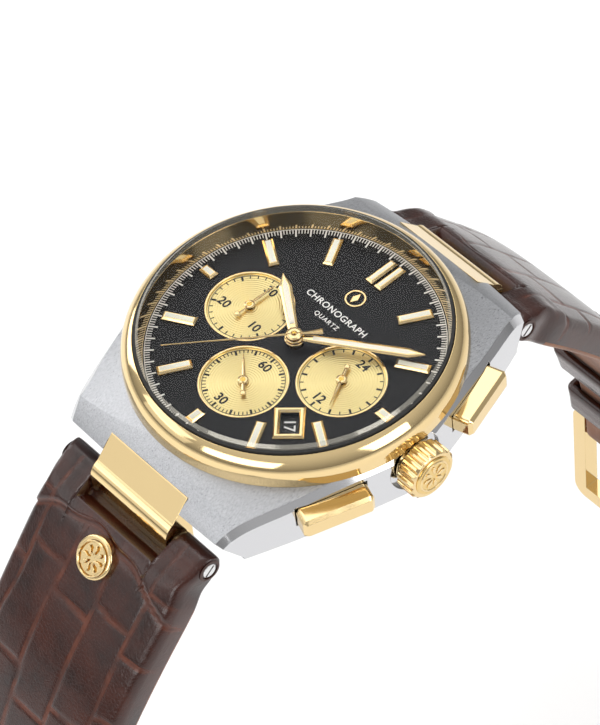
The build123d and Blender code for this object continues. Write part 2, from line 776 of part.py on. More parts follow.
def small_hand(angle, place, height):
    """Add a sub-dial hand with a round tail to the current part."""
    with BuildSketch(hand_plane(angle, place, height)) as outline:
        Circle(0.62)
        with BuildLine() as blade:
            Polyline((-0.2, -1.7), (-0.2, 1.4), (0, small_hand_length), (0.2, 1.4), (0.2, -1.7), close=True)
        make_face(blade.edges())
        with Locations((0, -1.9)):
            Circle(0.34)
        Circle(arbor_radius, mode=Mode.SUBTRACT)
    extrude(outline.sketch, amount=0.12)


with BuildPart() as hour_hand:
    baton(hour_hand_angle, hour_hand_length, 1.55, 1.15, tube_outer, dial_top + hour_hand_height, 0.18)
finish(hour_hand, "hour_hand")

with BuildPart() as minute_hand:
    baton(minute_hand_angle, minute_hand_length, 1.35, 1.1, cannon_outer, dial_top + minute_hand_height, 0.18)
finish(minute_hand, "minute_hand")

with BuildPart() as chrono_hand:
    with BuildSketch(hand_plane(chrono_hand_angle, centre, dial_top + chrono_hand_height)):
        Circle(0.95)
        with BuildLine():
            Polyline((-0.42, -3.3), (-0.16, -0.8), (-0.16, 1.0), (-0.08, chrono_hand_length),
                     (0.08, chrono_hand_length), (0.16, 1.0), (0.16, -0.8), (0.42, -3.3), close=True)
        make_face()
        Circle(chrono_arbor_radius, mode=Mode.SUBTRACT)
    extrude(amount=0.15)
finish(chrono_hand, "chrono_hand")

for name, angle, place in (("seconds_hand", seconds_hand_angle, seconds_axis),
                           ("counter_hand", counter_hand_angle, counter_axis),
                           ("day_hand", day_hand_angle, day_axis)):
    with BuildPart() as small:
        small_hand(angle, place, dial_top + small_hand_height)
    finish(small, name)

# ---------------------------------------------------------------- crown and stem


def crown_disc(radius, start, end, hole=0.0):
    """Add a round step on the crown's axis to the current part."""
    with BuildSketch(Plane.YZ.offset(start)) as outline:
        with Locations((0, crown_height)):
            Circle(radius)
            if hole:
                Circle(hole, mode=Mode.SUBTRACT)
    extrude(outline.sketch, amount=end - start)


crown_start = bezel_radius + 0.15
crown_end = crown_start + crown_length
tube_end = crown_start + 1.0
clutch_start = bridge_radius + 0.7
stem_start = clutch_start - 0.6

with BuildPart() as crown:
    crown_disc(crown_radius, crown_start, crown_end)
    chamfer(crown.edges().group_by(Axis.X)[-1], 0.35)
    chamfer(crown.edges().group_by(Axis.X)[0], 0.2)
    with BuildSketch(Plane.YZ.offset(crown_start)):
        with Locations((0, crown_height)):
            with PolarLocations(crown_radius + 0.12, flute_count):
                Circle(flute_depth + 0.12)
    extrude(amount=crown_length, mode=Mode.SUBTRACT)
    crown_disc(crown_radius - 0.6, waist_half_width - 1.1, crown_start)
    with BuildSketch(Plane.YZ.offset(waist_half_width - 1.1)):
        with Locations((0, crown_height)):
            Circle(tube_bore_radius + 0.65)
    extrude(amount=tube_end - waist_half_width + 1.3, mode=Mode.SUBTRACT)
    with BuildSketch(Plane.YZ.offset(tube_end)):
        with Locations((0, crown_height)):
            Circle(stem_radius + 0.02)
    extrude(amount=1.0, mode=Mode.SUBTRACT)
finish(crown, "crown")

with BuildPart() as crown_cap:
    crown_disc(crown_radius - 0.75, crown_end, crown_end + 0.2)
    chamfer(crown_cap.edges().group_by(Axis.X)[-1], 0.12)
finish(crown_cap, "crown_cap")

with BuildPart() as crown_tube:
    crown_disc(tube_bore_radius + 0.56, case_bore_radius + gap, tube_end, tube_bore_radius)
finish(crown_tube, "crown_tube")

with BuildPart() as stem:
    crown_disc(stem_radius, stem_start, tube_end + 0.9)
finish(stem, "stem")

with BuildPart() as clutch_pinion:
    with BuildSketch(Plane.YZ.offset(clutch_start)):
        gear_face(10, 0.19, 0, (0, crown_height))
        with Locations((0, crown_height)):
            Circle(stem_radius + 0.04, mode=Mode.SUBTRACT)
    extrude(amount=1.6)
finish(clutch_pinion, "clutch_pinion")

# ---------------------------------------------------------------- pushers


def pusher_plane(side):
    """A plane on the flank under a pusher, its Z pointing out of the case, its X upwards."""
    foot = (flank_x(pusher_y), side * pusher_y, pusher_top - pusher_height / 2)
    return Plane(origin=foot, x_dir=(0, 0, 1), z_dir=(flank_normal[0], side * flank_normal[1], 0))


for side, name in ((1, "start"), (-1, "reset")):
    flank_plane = pusher_plane(side)
    with BuildPart() as pusher:
        with BuildSketch(flank_plane.offset(-cap_back)):
            RectangleRounded(pusher_height, pusher_length, 0.6)
        extrude(amount=pusher_reach + cap_back)
        outer_face = pusher.faces().sort_by(Axis(flank_plane.origin, flank_plane.z_dir))[-1]
        chamfer(outer_face.edges(), 0.4)
        with BuildSketch(flank_plane.offset(-cap_back)):
            Circle(pusher_stem_radius)
        extrude(amount=-4.9)
    finish(pusher, f"{name}_pusher")
    with BuildPart() as spring:
        spring_foot = flank_plane.offset(-spring_seat + spring_wire + 0.03)
        with BuildLine() as coil_line:
            Helix(pitch=0.5, height=spring_seat - cap_back - 2 * spring_wire - 0.1, radius=spring_radius,
                  center=spring_foot.origin, direction=flank_plane.z_dir)
        with BuildSketch(Plane(origin=coil_line.line @ 0, z_dir=coil_line.line % 0)):
            Circle(spring_wire)
        sweep(is_frenet=True)
    finish(spring, f"{name}_spring")

with BuildPart() as pusher_tubes:
    for side in (1, -1):
        with BuildSketch(pusher_plane(side).offset(-spring_seat)):
            Circle(pusher_stem_radius + 0.4)
            Circle(pusher_stem_radius + 0.05, mode=Mode.SUBTRACT)
        extrude(amount=-2.0)
finish(pusher_tubes, "pusher_tubes")

# ---------------------------------------------------------------- lugs and strap bars


def lug(side, name):
    """The gold centre lug at one end, with its bar bore and screw holes."""
    with BuildPart() as piece:
        with BuildSketch(Plane.YZ) as profile:
            with BuildLine() as edge:
                root = side * (lug_root_y + 0.02)
                brow = (side * (bar_y + 0.45), bar_height + 3.45)
                nose = (side * (bar_y + 1.75), bar_height + 1.9)
                chin = (side * (bar_y + 1.8), bar_height - 0.3)
                heel = (side * (bar_y + 1.2), lug_bottom)
                Polyline(heel, (root, lug_bottom), (root, lug_top), brow)
                ThreePointArc(brow, (side * (bar_y + 1.28), bar_height + 2.85), nose)
                Polyline(nose, chin)
                ThreePointArc(chin, (side * (bar_y + 1.65), bar_height - 0.85), heel)
            make_face(edge.edges())
        extrude(profile.sketch, amount=lug_half_width, both=True)
        with BuildSketch(Plane.YZ) as bore:
            with Locations((side * bar_y, bar_height)):
                Circle(bar_radius + 0.02)
        extrude(bore.sketch, amount=lug_half_width + 1, both=True, mode=Mode.SUBTRACT)
        for sx in (1, -1):
            with BuildSketch(Plane(origin=(sx * lug_half_width * 0.6, side * (lug_root_y - 1), lug_screw_height),
                                   x_dir=(1, 0, 0), z_dir=(0, side, 0))) as hole:
                Circle(0.5)
            extrude(hole.sketch, amount=2.1, mode=Mode.SUBTRACT)
    finish(piece, name)


lug_top = dial_height - 2.25
lug_bottom = bar_height - 1.1
lug(1, "lug_12")
lug(-1, "lug_6")

with BuildPart() as lug_screws:
    for sx in (1, -1):
        for sy in (1, -1):
            head = Plane(origin=(sx * lug_half_width * 0.6, sy * (case_bore_radius - 0.1), lug_screw_height),
                         x_dir=(1, 0, 0), z_dir=(0, sy, 0))
            with BuildSketch(head):
                Circle(0.45)
            extrude(amount=lug_root_y - case_bore_radius + 1.0)
finish(lug_screws, "lug_screws")

with BuildPart() as strap_bars:
    for sy in (1, -1):
        with BuildSketch(Plane.YZ.offset(-bar_half_length)):
            with Locations((sy * bar_y, bar_height)):
                Circle(bar_radius)
        extrude(amount=2 * bar_half_length)
        for sx in (1, -1):
            with BuildSketch(Plane(origin=(sx * (bar_half_length - 0.5), sy * bar_y, bar_height),
                                   x_dir=(0, 1, 0), z_dir=(sx, 0, 0))):
                Circle(bar_radius + 0.25)
            extrude(amount=0.5)
            with BuildSketch(Plane(origin=(sx * bar_half_length, sy * bar_y, bar_height),
                                   x_dir=(0, 1, 0), z_dir=(-sx, 0, 0))):
                Rectangle(0.3, 3)
            extrude(amount=0.2, mode=Mode.SUBTRACT)
finish(strap_bars, "strap_bars")

# ---------------------------------------------------------------- strap


def strap_slope(station):
    """Angle of the strap below horizontal, in radians, at a distance along it from the bar."""
    return math.radians(strap_start_slope + strap_curl * station + strap_curl_growth * station**2)


def strap_point(station, height=0.0):
    """Outward distance and height of a point over the strap's line through the bar."""
    steps = 60
    y, z = bar_y, bar_height
    for step in range(steps):
        slope = strap_slope(station * (step + 0.5) / steps)
        y += station / steps * math.cos(slope)
        z -= station / steps * math.sin(slope)
    slope = strap_slope(station)
    return (y + height * math.sin(slope), z + height * math.cos(slope))


def strap_height(station, length):
    """Top and underside of the leather over the strap's line."""
    taper = min(max((station - 6) / (0.55 * length), 0), 1)
    taper = taper * taper * (3 - 2 * taper)
    return (strap_top + (strap_thin - strap_top) * taper, -roll_radius - (strap_thin - roll_radius) * taper)


def strap_plane(side, station, height=0.0):
    """A plane on the strap, its Y along the strap and its Z out of the leather."""
    y, z = strap_point(station, height)
    slope = strap_slope(station)
    normal = (0, side * math.sin(slope), math.cos(slope))
    return Plane(origin=(0, side * y, z), x_dir=(side, 0, 0), z_dir=normal)


def strap_body(side, length, round_tip):
    """Add one padded leather half to the current part: its side profile cut to its tapering width."""
    stations = [0.6, 4, 9, 15, 22, 30, 40, 50, 60, 70]
    stations = [s for s in stations if s < length - 8] + [length - 4, length]
    while stations[-1] - stations[-3] > 20:
        stations.insert(-2, (stations[-2] + stations[-3]) / 2 - 0.5)
    upper = [strap_point(s, strap_height(s, length)[0]) for s in stations]
    lower = [strap_point(s, strap_height(s, length)[1]) for s in stations]
    slope = strap_slope(0)

    def near_bar(along, height):
        return (bar_y + along * math.cos(slope) + height * math.sin(slope),
                bar_height - along * math.sin(slope) + height * math.cos(slope))

    with BuildSketch(Plane.YZ) as profile:
        with BuildLine() as edge:
            top = Spline(*[(side * y, z) for y, z in upper])
            tip = Line(top @ 1, (side * lower[-1][0], lower[-1][1]))
            bottom = Spline(*[(side * y, z) for y, z in reversed(lower)])
            places = [near_bar(-0.2, -roll_radius), near_bar(-roll_radius, 0.0), near_bar(-1.5, 1.0),
                      near_bar(-1.35, 2.6), near_bar(-0.6, strap_top - 0.15)]
            points = [(side * y, z) for y, z in places]
            Polyline(bottom @ 1, *points, top @ 0)
        make_face(edge.edges())
    extrude(profile.sketch, amount=strap_width / 2, both=True)
    # taper in width, seen from the end of the watch
    reach = length + 10
    with BuildSketch(Plane.XZ) as front:
        with BuildLine() as edge:
            deep = strap_point(length)[1] if strap_slope(length) < math.pi / 2 else bar_height - 0.8 * length
            Polyline((-strap_width / 2, bar_height + 8), (-strap_width / 2, bar_height - 6),
                     (-strap_end_width / 2, deep), (-strap_end_width / 2, deep - reach),
                     (strap_end_width / 2, deep - reach), (strap_end_width / 2, deep),
                     (strap_width / 2, bar_height - 6), (strap_width / 2, bar_height + 8), close=True)
        make_face(edge.edges())
    extrude(front.sketch, amount=2 * reach, both=True, mode=Mode.INTERSECT)
    # bore for the bar and a notch for the centre lug
    with BuildSketch(Plane.YZ) as bore:
        with Locations((side * bar_y, bar_height)):
            Circle(bar_radius + strap_clearance)
    extrude(bore.sketch, amount=strap_width, both=True, mode=Mode.SUBTRACT)
    with BuildSketch(Plane.YZ) as notch:
        with Locations((side * bar_y, bar_height)):
            Circle(notch_radius)
    extrude(notch.sketch, amount=lug_half_width + 0.35, both=True, mode=Mode.SUBTRACT)
    for sx in (1, -1):
        with BuildSketch(Plane.YZ.offset(sx * strap_width / 2)) as counterbore:
            with Locations((side * bar_y, bar_height)):
                Circle(bar_radius + 0.25 + strap_clearance)
        extrude(counterbore.sketch, amount=-sx * 0.9, mode=Mode.SUBTRACT)
    if round_tip:
        tip_plane = strap_plane(side, length - strap_end_width / 2)
        with BuildSketch(tip_plane.offset(-4)) as corners:
            with Locations((0, strap_end_width / 2)):
                Rectangle(2 * strap_end_width, strap_end_width + 2)
            Circle(strap_end_width / 2 + 0.02, mode=Mode.SUBTRACT)
        extrude(corners.sketch, amount=8, mode=Mode.SUBTRACT)


with BuildPart() as strap_12:
    strap_body(1, short_half_length, False)
    # slot for the tongue and a bore for the buckle bar
    end_plane = strap_plane(1, short_half_length - 2.0)
    with BuildSketch(end_plane.offset(-4)):
        with Locations((0, 1.0)):
            Rectangle(3.0, 9.0)
    extrude(amount=8, mode=Mode.SUBTRACT)
    bar_place = strap_point(short_half_length - 2.0)
    with BuildSketch(Plane.YZ):
        with Locations(bar_place):
            Circle(buckle_bar_radius + strap_clearance)
    extrude(amount=strap_width, both=True, mode=Mode.SUBTRACT)
finish(strap_12, "strap_12")

with BuildPart() as strap_6:
    strap_body(-1, long_half_length, True)
    for number in range(hole_count):
        with BuildSketch(strap_plane(-1, first_hole + number * hole_pitch).offset(-4)):
            Circle(hole_radius)
        extrude(amount=8, mode=Mode.SUBTRACT)
    stud_top = strap_height(stud_station, long_half_length)[0]
    with BuildSketch(strap_plane(-1, stud_station, stud_top)):
        Circle(stud_radius + 0.1)
    extrude(amount=-0.5, mode=Mode.SUBTRACT)
    with BuildSketch(strap_plane(-1, stud_station, stud_top)):
        Circle(stud_radius + 0.1)
    extrude(amount=3, mode=Mode.SUBTRACT)
    with BuildSketch(strap_plane(-1, stud_station, stud_top)):
        Circle(0.65)
    extrude(amount=-2.6, mode=Mode.SUBTRACT)
finish(strap_6, "strap_6")

with BuildPart() as strap_stud:
    with BuildSketch(strap_plane(-1, stud_station, stud_top - 0.45)):
        Circle(stud_radius)
    extrude(amount=0.95)
    fillet(strap_stud.edges().sort_by(SortBy.DISTANCE)[-1], 0.3)
    with BuildSketch(strap_plane(-1, stud_station, stud_top - 0.45)):
        Circle(0.55)
    extrude(amount=-1.9)
finish(strap_stud, "strap_stud")

# ---------------------------------------------------------------- keepers


def strap_half_width(station):
    """Half width of the short half at a distance along it."""
    z = strap_point(station)[1]
    deep = strap_point(short_half_length)[1]
    share = min(max((bar_height - 6 - z) / (bar_height - 6 - deep), 0), 1)
    return (strap_width + (strap_end_width - strap_width) * share) / 2


def keeper(station, name):
    """A leather loop around the short half with room for the long half on top."""
    top, bottom = strap_height(station, short_half_length)
    low, high = bottom - 0.3, top + keeper_rise
    half = strap_half_width(station) + 0.45
    with BuildPart() as loop:
        with BuildSketch(strap_plane(1, station, (low + high) / 2).offset(0)) as block:
            Rectangle(2 * (half + keeper_thickness), keeper_width)
        extrude(block.sketch, amount=(high - low) / 2 + keeper_thickness, both=True)
        with BuildSketch(strap_plane(1, station, (low + high) / 2)) as hollow:
            Rectangle(2 * half, keeper_width + 2)
        extrude(hollow.sketch, amount=(high - low) / 2, both=True, mode=Mode.SUBTRACT)
    finish(loop, name)


keeper(fixed_keeper_station, "fixed_keeper")
keeper(free_keeper_station, "free_keeper")

# ---------------------------------------------------------------- pin buckle

buckle_plane = strap_plane(1, short_half_length - 2.0)
frame_outer = buckle_half_width
bar_reach = frame_outer - 0.4

with BuildPart() as buckle_frame:
    with BuildSketch(buckle_plane.offset(-buckle_wire / 2)):
        with Locations((0, buckle_length / 2 - 1.5)):
            RectangleRounded(2 * frame_outer, buckle_length + 3, 2.0)
    extrude(amount=buckle_wire)
    chamfer(buckle_frame.faces().sort_by(Axis(buckle_plane.origin, buckle_plane.z_dir))[-1].edges(), 0.35)
    with BuildSketch(buckle_plane.offset(-buckle_wire)):
        with Locations((0, (buckle_length - buckle_wire) / 2 - 3)):
            Rectangle(2 * (frame_outer - buckle_wire), buckle_length - buckle_wire + 6.0)
    extrude(amount=2 * buckle_wire, mode=Mode.SUBTRACT)
    with BuildSketch(Plane(origin=buckle_plane.origin, x_dir=(0, 1, 0), z_dir=(1, 0, 0))):
        Circle(buckle_bar_radius + 0.05)
    extrude(amount=bar_reach + 0.02, both=True, mode=Mode.SUBTRACT)
finish(buckle_frame, "buckle_frame")

with BuildPart() as buckle_bar:
    with BuildSketch(Plane(origin=buckle_plane.origin, x_dir=(0, 1, 0), z_dir=(1, 0, 0))):
        Circle(buckle_bar_radius)
    extrude(amount=bar_reach, both=True)
finish(buckle_bar, "buckle_bar")

with BuildPart() as buckle_tongue:
    eye = Plane(origin=buckle_plane.origin, x_dir=buckle_plane.y_dir, z_dir=(1, 0, 0))
    with BuildSketch(eye):
        with BuildLine():
            Polyline((0, 0.9), (2.2, buckle_wire / 2 + 0.3), (buckle_length - 0.6, buckle_wire / 2 + 0.3),
                     (buckle_length - 0.6, buckle_wire / 2 + 1.5), (1.2, buckle_wire / 2 + 1.5),
                     (-0.6, 1.2), close=True)
        make_face()
        Circle(1.45)
        Circle(buckle_bar_radius + 0.05, mode=Mode.SUBTRACT)
    extrude(amount=0.8, both=True)
finish(buckle_tongue, "buckle_tongue")
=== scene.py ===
import bpy
import math
import numpy as np
from mathutils import Matrix, Vector


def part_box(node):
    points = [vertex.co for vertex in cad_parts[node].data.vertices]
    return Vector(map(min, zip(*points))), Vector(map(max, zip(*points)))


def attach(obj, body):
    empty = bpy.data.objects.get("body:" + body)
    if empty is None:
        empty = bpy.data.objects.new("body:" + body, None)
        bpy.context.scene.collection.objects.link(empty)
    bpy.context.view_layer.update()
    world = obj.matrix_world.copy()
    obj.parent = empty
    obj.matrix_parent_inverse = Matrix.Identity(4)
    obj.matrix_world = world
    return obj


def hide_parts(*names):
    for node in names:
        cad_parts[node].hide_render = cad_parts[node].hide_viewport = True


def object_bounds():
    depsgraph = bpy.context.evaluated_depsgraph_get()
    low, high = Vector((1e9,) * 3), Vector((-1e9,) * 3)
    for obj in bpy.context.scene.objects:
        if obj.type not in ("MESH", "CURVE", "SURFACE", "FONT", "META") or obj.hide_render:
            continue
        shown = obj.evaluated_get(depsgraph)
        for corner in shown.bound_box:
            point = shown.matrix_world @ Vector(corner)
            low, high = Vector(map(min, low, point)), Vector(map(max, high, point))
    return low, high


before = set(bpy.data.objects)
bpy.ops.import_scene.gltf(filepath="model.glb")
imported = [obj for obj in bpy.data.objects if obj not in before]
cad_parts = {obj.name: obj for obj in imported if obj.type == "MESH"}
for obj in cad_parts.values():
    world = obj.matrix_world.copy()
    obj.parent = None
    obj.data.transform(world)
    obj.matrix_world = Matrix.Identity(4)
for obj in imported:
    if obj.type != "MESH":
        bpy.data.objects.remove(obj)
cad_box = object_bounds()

# Chronograph wristwatch with a padded leather strap. Lengths below are in millimetres and are
# turned to metres by MM; +Z goes up through the dial, +Y to 12 o'clock, +X to the crown.

MM = 0.001

# ------------------------------------------------------------------ places taken from the frame

dial_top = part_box("dial")[1].z / MM
subdial_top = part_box("subdial_plates")[1].z / MM
crystal_low, crystal_high = (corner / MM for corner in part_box("crystal"))
date_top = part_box("date_disc")[1].z / MM
bar_low, bar_high = (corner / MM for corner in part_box("strap_bars"))
bar_radius = 0.9
bar_reach = bar_high.y - bar_radius
bar_height = (bar_low.z + bar_high.z) / 2
crown_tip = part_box("crown_cap")[1].x / MM
crown_axis = (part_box("crown")[0].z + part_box("crown")[1].z) / 2 / MM

subdial_offset = 7.9
subdials = {"counter": (-subdial_offset, 0.0), "seconds": (0.0, -subdial_offset),
            "day": (subdial_offset, 0.0)}
subdial_radius = 5.25

# ------------------------------------------------------------------ small helpers


def linear(hex_colour, alpha=1.0):
    """sRGB hex to the linear colour that sockets take."""
    parts = [int(hex_colour[i:i + 2], 16) / 255 for i in (1, 3, 5)]
    return [p / 12.92 if p <= 0.04045 else ((p + 0.055) / 1.055) ** 2.4 for p in parts] + [alpha]


def add(tree, kind, inputs=None, **settings):
    """Add a node, set its settings, and set or link its inputs."""
    made = tree.nodes.new(kind)
    for name, value in settings.items():
        setattr(made, name, value)
    for socket, value in (inputs or {}).items():
        if isinstance(value, bpy.types.NodeSocket):
            tree.links.new(value, made.inputs[socket])
        else:
            made.inputs[socket].default_value = value
    return made


def surface(name, **inputs):
    """A new material with one shader. Underscores in the input names stand for spaces."""
    made = bpy.data.materials.new(name)
    made.use_nodes = True
    tree = made.node_tree
    tree.nodes.clear()
    shader = add(tree, "ShaderNodeBsdfPrincipled", {k.replace("_", " "): v for k, v in inputs.items()})
    add(tree, "ShaderNodeOutputMaterial", {"Surface": shader.outputs[0]})
    return made, tree, shader


def place_in_mm(tree, scale=(1.0, 1.0, 1.0)):
    """Position on the piece, in millimetres, times a scale on each axis."""
    place = add(tree, "ShaderNodeTexCoord")
    return add(tree, "ShaderNodeMapping", {"Vector": place.outputs["Object"],
               "Scale": tuple(s / MM for s in scale)}).outputs["Vector"]


def wear(tree, shader, low, high, size=0.7):
    """Handling marks: roughness drifts between two values over blotches of a size in mm."""
    cloud = add(tree, "ShaderNodeTexNoise", {"Vector": place_in_mm(tree), "Scale": 1 / size, "Detail": 5.0})
    spread = add(tree, "ShaderNodeMapRange", {"Value": cloud.outputs[0], "From Min": 0.3, "From Max": 0.7,
                 "To Min": low, "To Max": high})
    tree.links.new(spread.outputs[0], shader.inputs["Roughness"])


def eased_edges(tree, radius):
    """A normal that rounds sharp edges by a radius in mm."""
    return add(tree, "ShaderNodeBevel", {"Radius": radius * MM}, samples=4).outputs[0]


def relief(tree, shader, height, depth, normal=None):
    """Bump of a depth in mm from a height between 0 and 1."""
    inputs = {"Height": height, "Distance": depth * MM, "Strength": 1.0}
    if normal is not None:
        inputs["Normal"] = normal
    bump = add(tree, "ShaderNodeBump", inputs)
    tree.links.new(bump.outputs[0], shader.inputs["Normal"])


def number(tree, operation, *values):
    """The result of one sum on numbers or sockets."""
    return add(tree, "ShaderNodeMath", dict(enumerate(values)), operation=operation).outputs[0]


def smooth(low, high, values):
    """0 below low, 1 above high and an even ease between."""
    share = np.clip((values - low) / (high - low), 0, 1)
    return share * share * (3 - 2 * share)


# ------------------------------------------------------------------ metals


def polished_gold(name="polished_gold_plating", colour="#EBD09B"):
    """Champagne gold PVD over polished steel: a clear mirror with faint handling marks and soft edges."""
    made, tree, shader = surface(name, Base_Color=linear(colour), Metallic=1.0)
    wear(tree, shader, 0.07, 0.13, 2.5)
    tree.links.new(eased_edges(tree, 0.12), shader.inputs["Normal"])
    return made


def brushed_case_steel():
    """Stainless steel case: tops brushed along the watch to a grey satin, flanks and chamfers bright."""
    made, tree, shader = surface("brushed_and_polished_case_steel", Metallic=1.0)
    normal = add(tree, "ShaderNodeNewGeometry").outputs["Normal"]
    facing = add(tree, "ShaderNodeSeparateXYZ", {"Vector": normal})
    # tops and the end facets are brushed; flanks and chamfers lean out along X and stay polished
    sideways = number(tree, "ABSOLUTE", facing.outputs["X"])
    brushed = add(tree, "ShaderNodeMapRange", {"Value": sideways, "From Min": 0.34, "From Max": 0.28,
                  "To Min": 0.0, "To Max": 1.0}).outputs[0]
    # real strokes are 0.02 mm wide; drawn 0.09 mm wide and 9 mm long so that they show
    strokes = add(tree, "ShaderNodeTexNoise", {"Vector": place_in_mm(tree, (11.0, 0.11, 11.0)), "Scale": 1.0,
                  "Detail": 3.0, "Roughness": 0.7})
    rough = add(tree, "ShaderNodeMapRange", {"Value": strokes.outputs[0], "From Min": 0.3, "From Max": 0.7,
                "To Min": 0.24, "To Max": 0.5})
    streak = add(tree, "ShaderNodeMapRange", {"Value": strokes.outputs[0], "From Min": 0.3, "From Max": 0.7,
                 "To Min": 0.0, "To Max": 1.0}).outputs[0]
    satin = add(tree, "ShaderNodeMix", {"Factor": streak, 6: linear("#96979A"), 7: linear("#C4C5C8")},
                data_type="RGBA")
    steel = add(tree, "ShaderNodeMix", {"Factor": brushed, 6: linear("#D2D2D4"), 7: satin.outputs[2]},
                data_type="RGBA")
    tree.links.new(steel.outputs[2], shader.inputs["Base Color"])
    mirror = 0.1
    rough = number(tree, "MULTIPLY_ADD", number(tree, "SUBTRACT", rough.outputs[0], mirror), brushed, mirror)
    tree.links.new(rough, shader.inputs["Roughness"])
    height = number(tree, "MULTIPLY", strokes.outputs[0], brushed)
    relief(tree, shader, height, 0.035, eased_edges(tree, 0.1))
    return made


def turned_metal(name, colour, rough, ring, depth, about=(0.0, 0.0, 0.0), axis="Z"):
    """Metal faced on a lathe: fine rings around an axis, a given spacing in mm apart."""
    made, tree, shader = surface(name, Base_Color=linear(colour), Metallic=1.0, Roughness=rough)
    place = add(tree, "ShaderNodeVectorMath", {0: place_in_mm(tree), 1: about}, operation="SUBTRACT")
    flat = {"Z": (1, 1, 0), "X": (0, 1, 1)}[axis]
    spoke = add(tree, "ShaderNodeVectorMath", {0: place.outputs[0], 1: flat}, operation="MULTIPLY")
    reach = add(tree, "ShaderNodeVectorMath", {0: spoke.outputs[0]}, operation="LENGTH").outputs["Value"]
    groove = number(tree, "SINE", number(tree, "MULTIPLY", reach, 2 * math.pi / ring))
    relief(tree, shader, number(tree, "MULTIPLY_ADD", groove, 0.5, 0.5), depth, eased_edges(tree, 0.05))
    return made


def azured_gold():
    """Gold sub-dials cut with azurage: fine rings around each sub-dial's own centre."""
    made, tree, shader = surface("azured_gold_subdial", Base_Color=linear("#EBD797"), Metallic=1.0,
                                 Roughness=0.3)
    reaches = []
    for x, y in subdials.values():
        away = add(tree, "ShaderNodeVectorMath", {0: place_in_mm(tree, (1, 1, 0)), 1: (x, y, 0)},
                   operation="DISTANCE")
        reaches.append(away.outputs["Value"])
    nearest = number(tree, "MINIMUM", number(tree, "MINIMUM", reaches[0], reaches[1]), reaches[2])
    # real azurage is cut every 0.08 mm; drawn every 0.3 mm so that it shows
    pitch = 0.3
    groove = number(tree, "SINE", number(tree, "MULTIPLY", nearest, 2 * math.pi / pitch))
    relief(tree, shader, number(tree, "MULTIPLY_ADD", groove, 0.5, 0.5), 0.03)
    return made


def grained_metal(name, colour, rough, grain=0.08, depth=0.004):
    """Plated or bead-blasted metal: an even fine grain of a size in mm."""
    made, tree, shader = surface(name, Base_Color=linear(colour), Metallic=1.0)
    specks = add(tree, "ShaderNodeTexNoise", {"Vector": place_in_mm(tree), "Scale": 1 / grain, "Detail": 2.0})
    rough = add(tree, "ShaderNodeMapRange", {"Value": specks.outputs[0], "To Min": rough - 0.07,
                "To Max": rough + 0.07})
    tree.links.new(rough.outputs[0], shader.inputs["Roughness"])
    relief(tree, shader, specks.outputs[0], depth, eased_edges(tree, 0.04))
    return made


def wound_copper():
    """Enamelled copper wire wound on the coil: a tight pitch of glossy turns."""
    made, tree, shader = surface("enamelled_copper_winding", Base_Color=linear("#B8693B"), Metallic=1.0,
                                 Roughness=0.28)
    turns = add(tree, "ShaderNodeTexWave", {"Vector": place_in_mm(tree), "Scale": 1 / 0.12 / 2,
                "Distortion": 0.3}, bands_direction="X")
    relief(tree, shader, turns.outputs[1], 0.03)
    return made


# ------------------------------------------------------------------ lacquer, paint, glass, plastics


def dial_lacquer():
    """Black dial: several coats of lacquer over brass, polished flat, deep with a soft gloss."""
    made, tree, shader = surface("black_dial_lacquer", Base_Color=linear("#141416"), IOR=1.5,
                                 Specular_IOR_Level=0.16, Roughness=0.32)
    orange_peel = add(tree, "ShaderNodeTexNoise", {"Vector": place_in_mm(tree), "Scale": 1 / 0.6})
    relief(tree, shader, orange_peel.outputs[0], 0.002)
    return made


def printed_ink(name, colour):
    """Pad-printed lacquer: a raised matt film with a slightly uneven surface."""
    made, tree, shader = surface(name, Base_Color=linear(colour), IOR=1.5)
    wear(tree, shader, 0.45, 0.6, 0.4)
    film = add(tree, "ShaderNodeTexNoise", {"Vector": place_in_mm(tree), "Scale": 1 / 0.15})
    relief(tree, shader, film.outputs[0], 0.003)
    return made


def lume_paint():
    """Luminous pigment in clear binder: chalky warm white with fine grains."""
    made, tree, shader = surface("luminous_paint", Base_Color=linear("#FFF6E4"), IOR=1.5,
                                 Subsurface_Weight=0.15, Subsurface_Scale=0.2 * MM)
    grains = add(tree, "ShaderNodeTexNoise", {"Vector": place_in_mm(tree), "Scale": 1 / 0.07, "Detail": 3.0})
    rough = add(tree, "ShaderNodeMapRange", {"Value": grains.outputs[0], "To Min": 0.45, "To Max": 0.7})
    tree.links.new(rough.outputs[0], shader.inputs["Roughness"])
    relief(tree, shader, grains.outputs[0], 0.008)
    return made


def coated_sapphire():
    """Sapphire with an anti-glare coat: nearly invisible face on."""
    made, tree, shader = surface("coated_sapphire", Base_Color=linear("#20242A"), IOR=1.77, Alpha=0.05)
    wear(tree, shader, 0.0, 0.02, 4.0)
    return made


def ground_sapphire():
    """The crystal's bevel and wall with a painted reflection: a pale grey, part-opaque colour stands in for
    the light the glass gathers there, so they read as a pale grey ring.
    """
    made, tree, shader = surface("bevelled_sapphire_edge_painted_reflection", Base_Color=linear("#C9C4B6"), IOR=1.77, Alpha=0.42,
                                 Metallic=0.35)
    wear(tree, shader, 0.04, 0.1, 1.0)
    return made


def moulded_plastic(name, colour, rough):
    """Injection-moulded plastic: an even spark-eroded texture."""
    made, tree, shader = surface(name, Base_Color=linear(colour), IOR=1.49)
    wear(tree, shader, rough - 0.06, rough + 0.06, 0.5)
    texture = add(tree, "ShaderNodeTexNoise", {"Vector": place_in_mm(tree), "Scale": 1 / 0.1})
    relief(tree, shader, texture.outputs[0], 0.006, eased_edges(tree, 0.06))
    return made


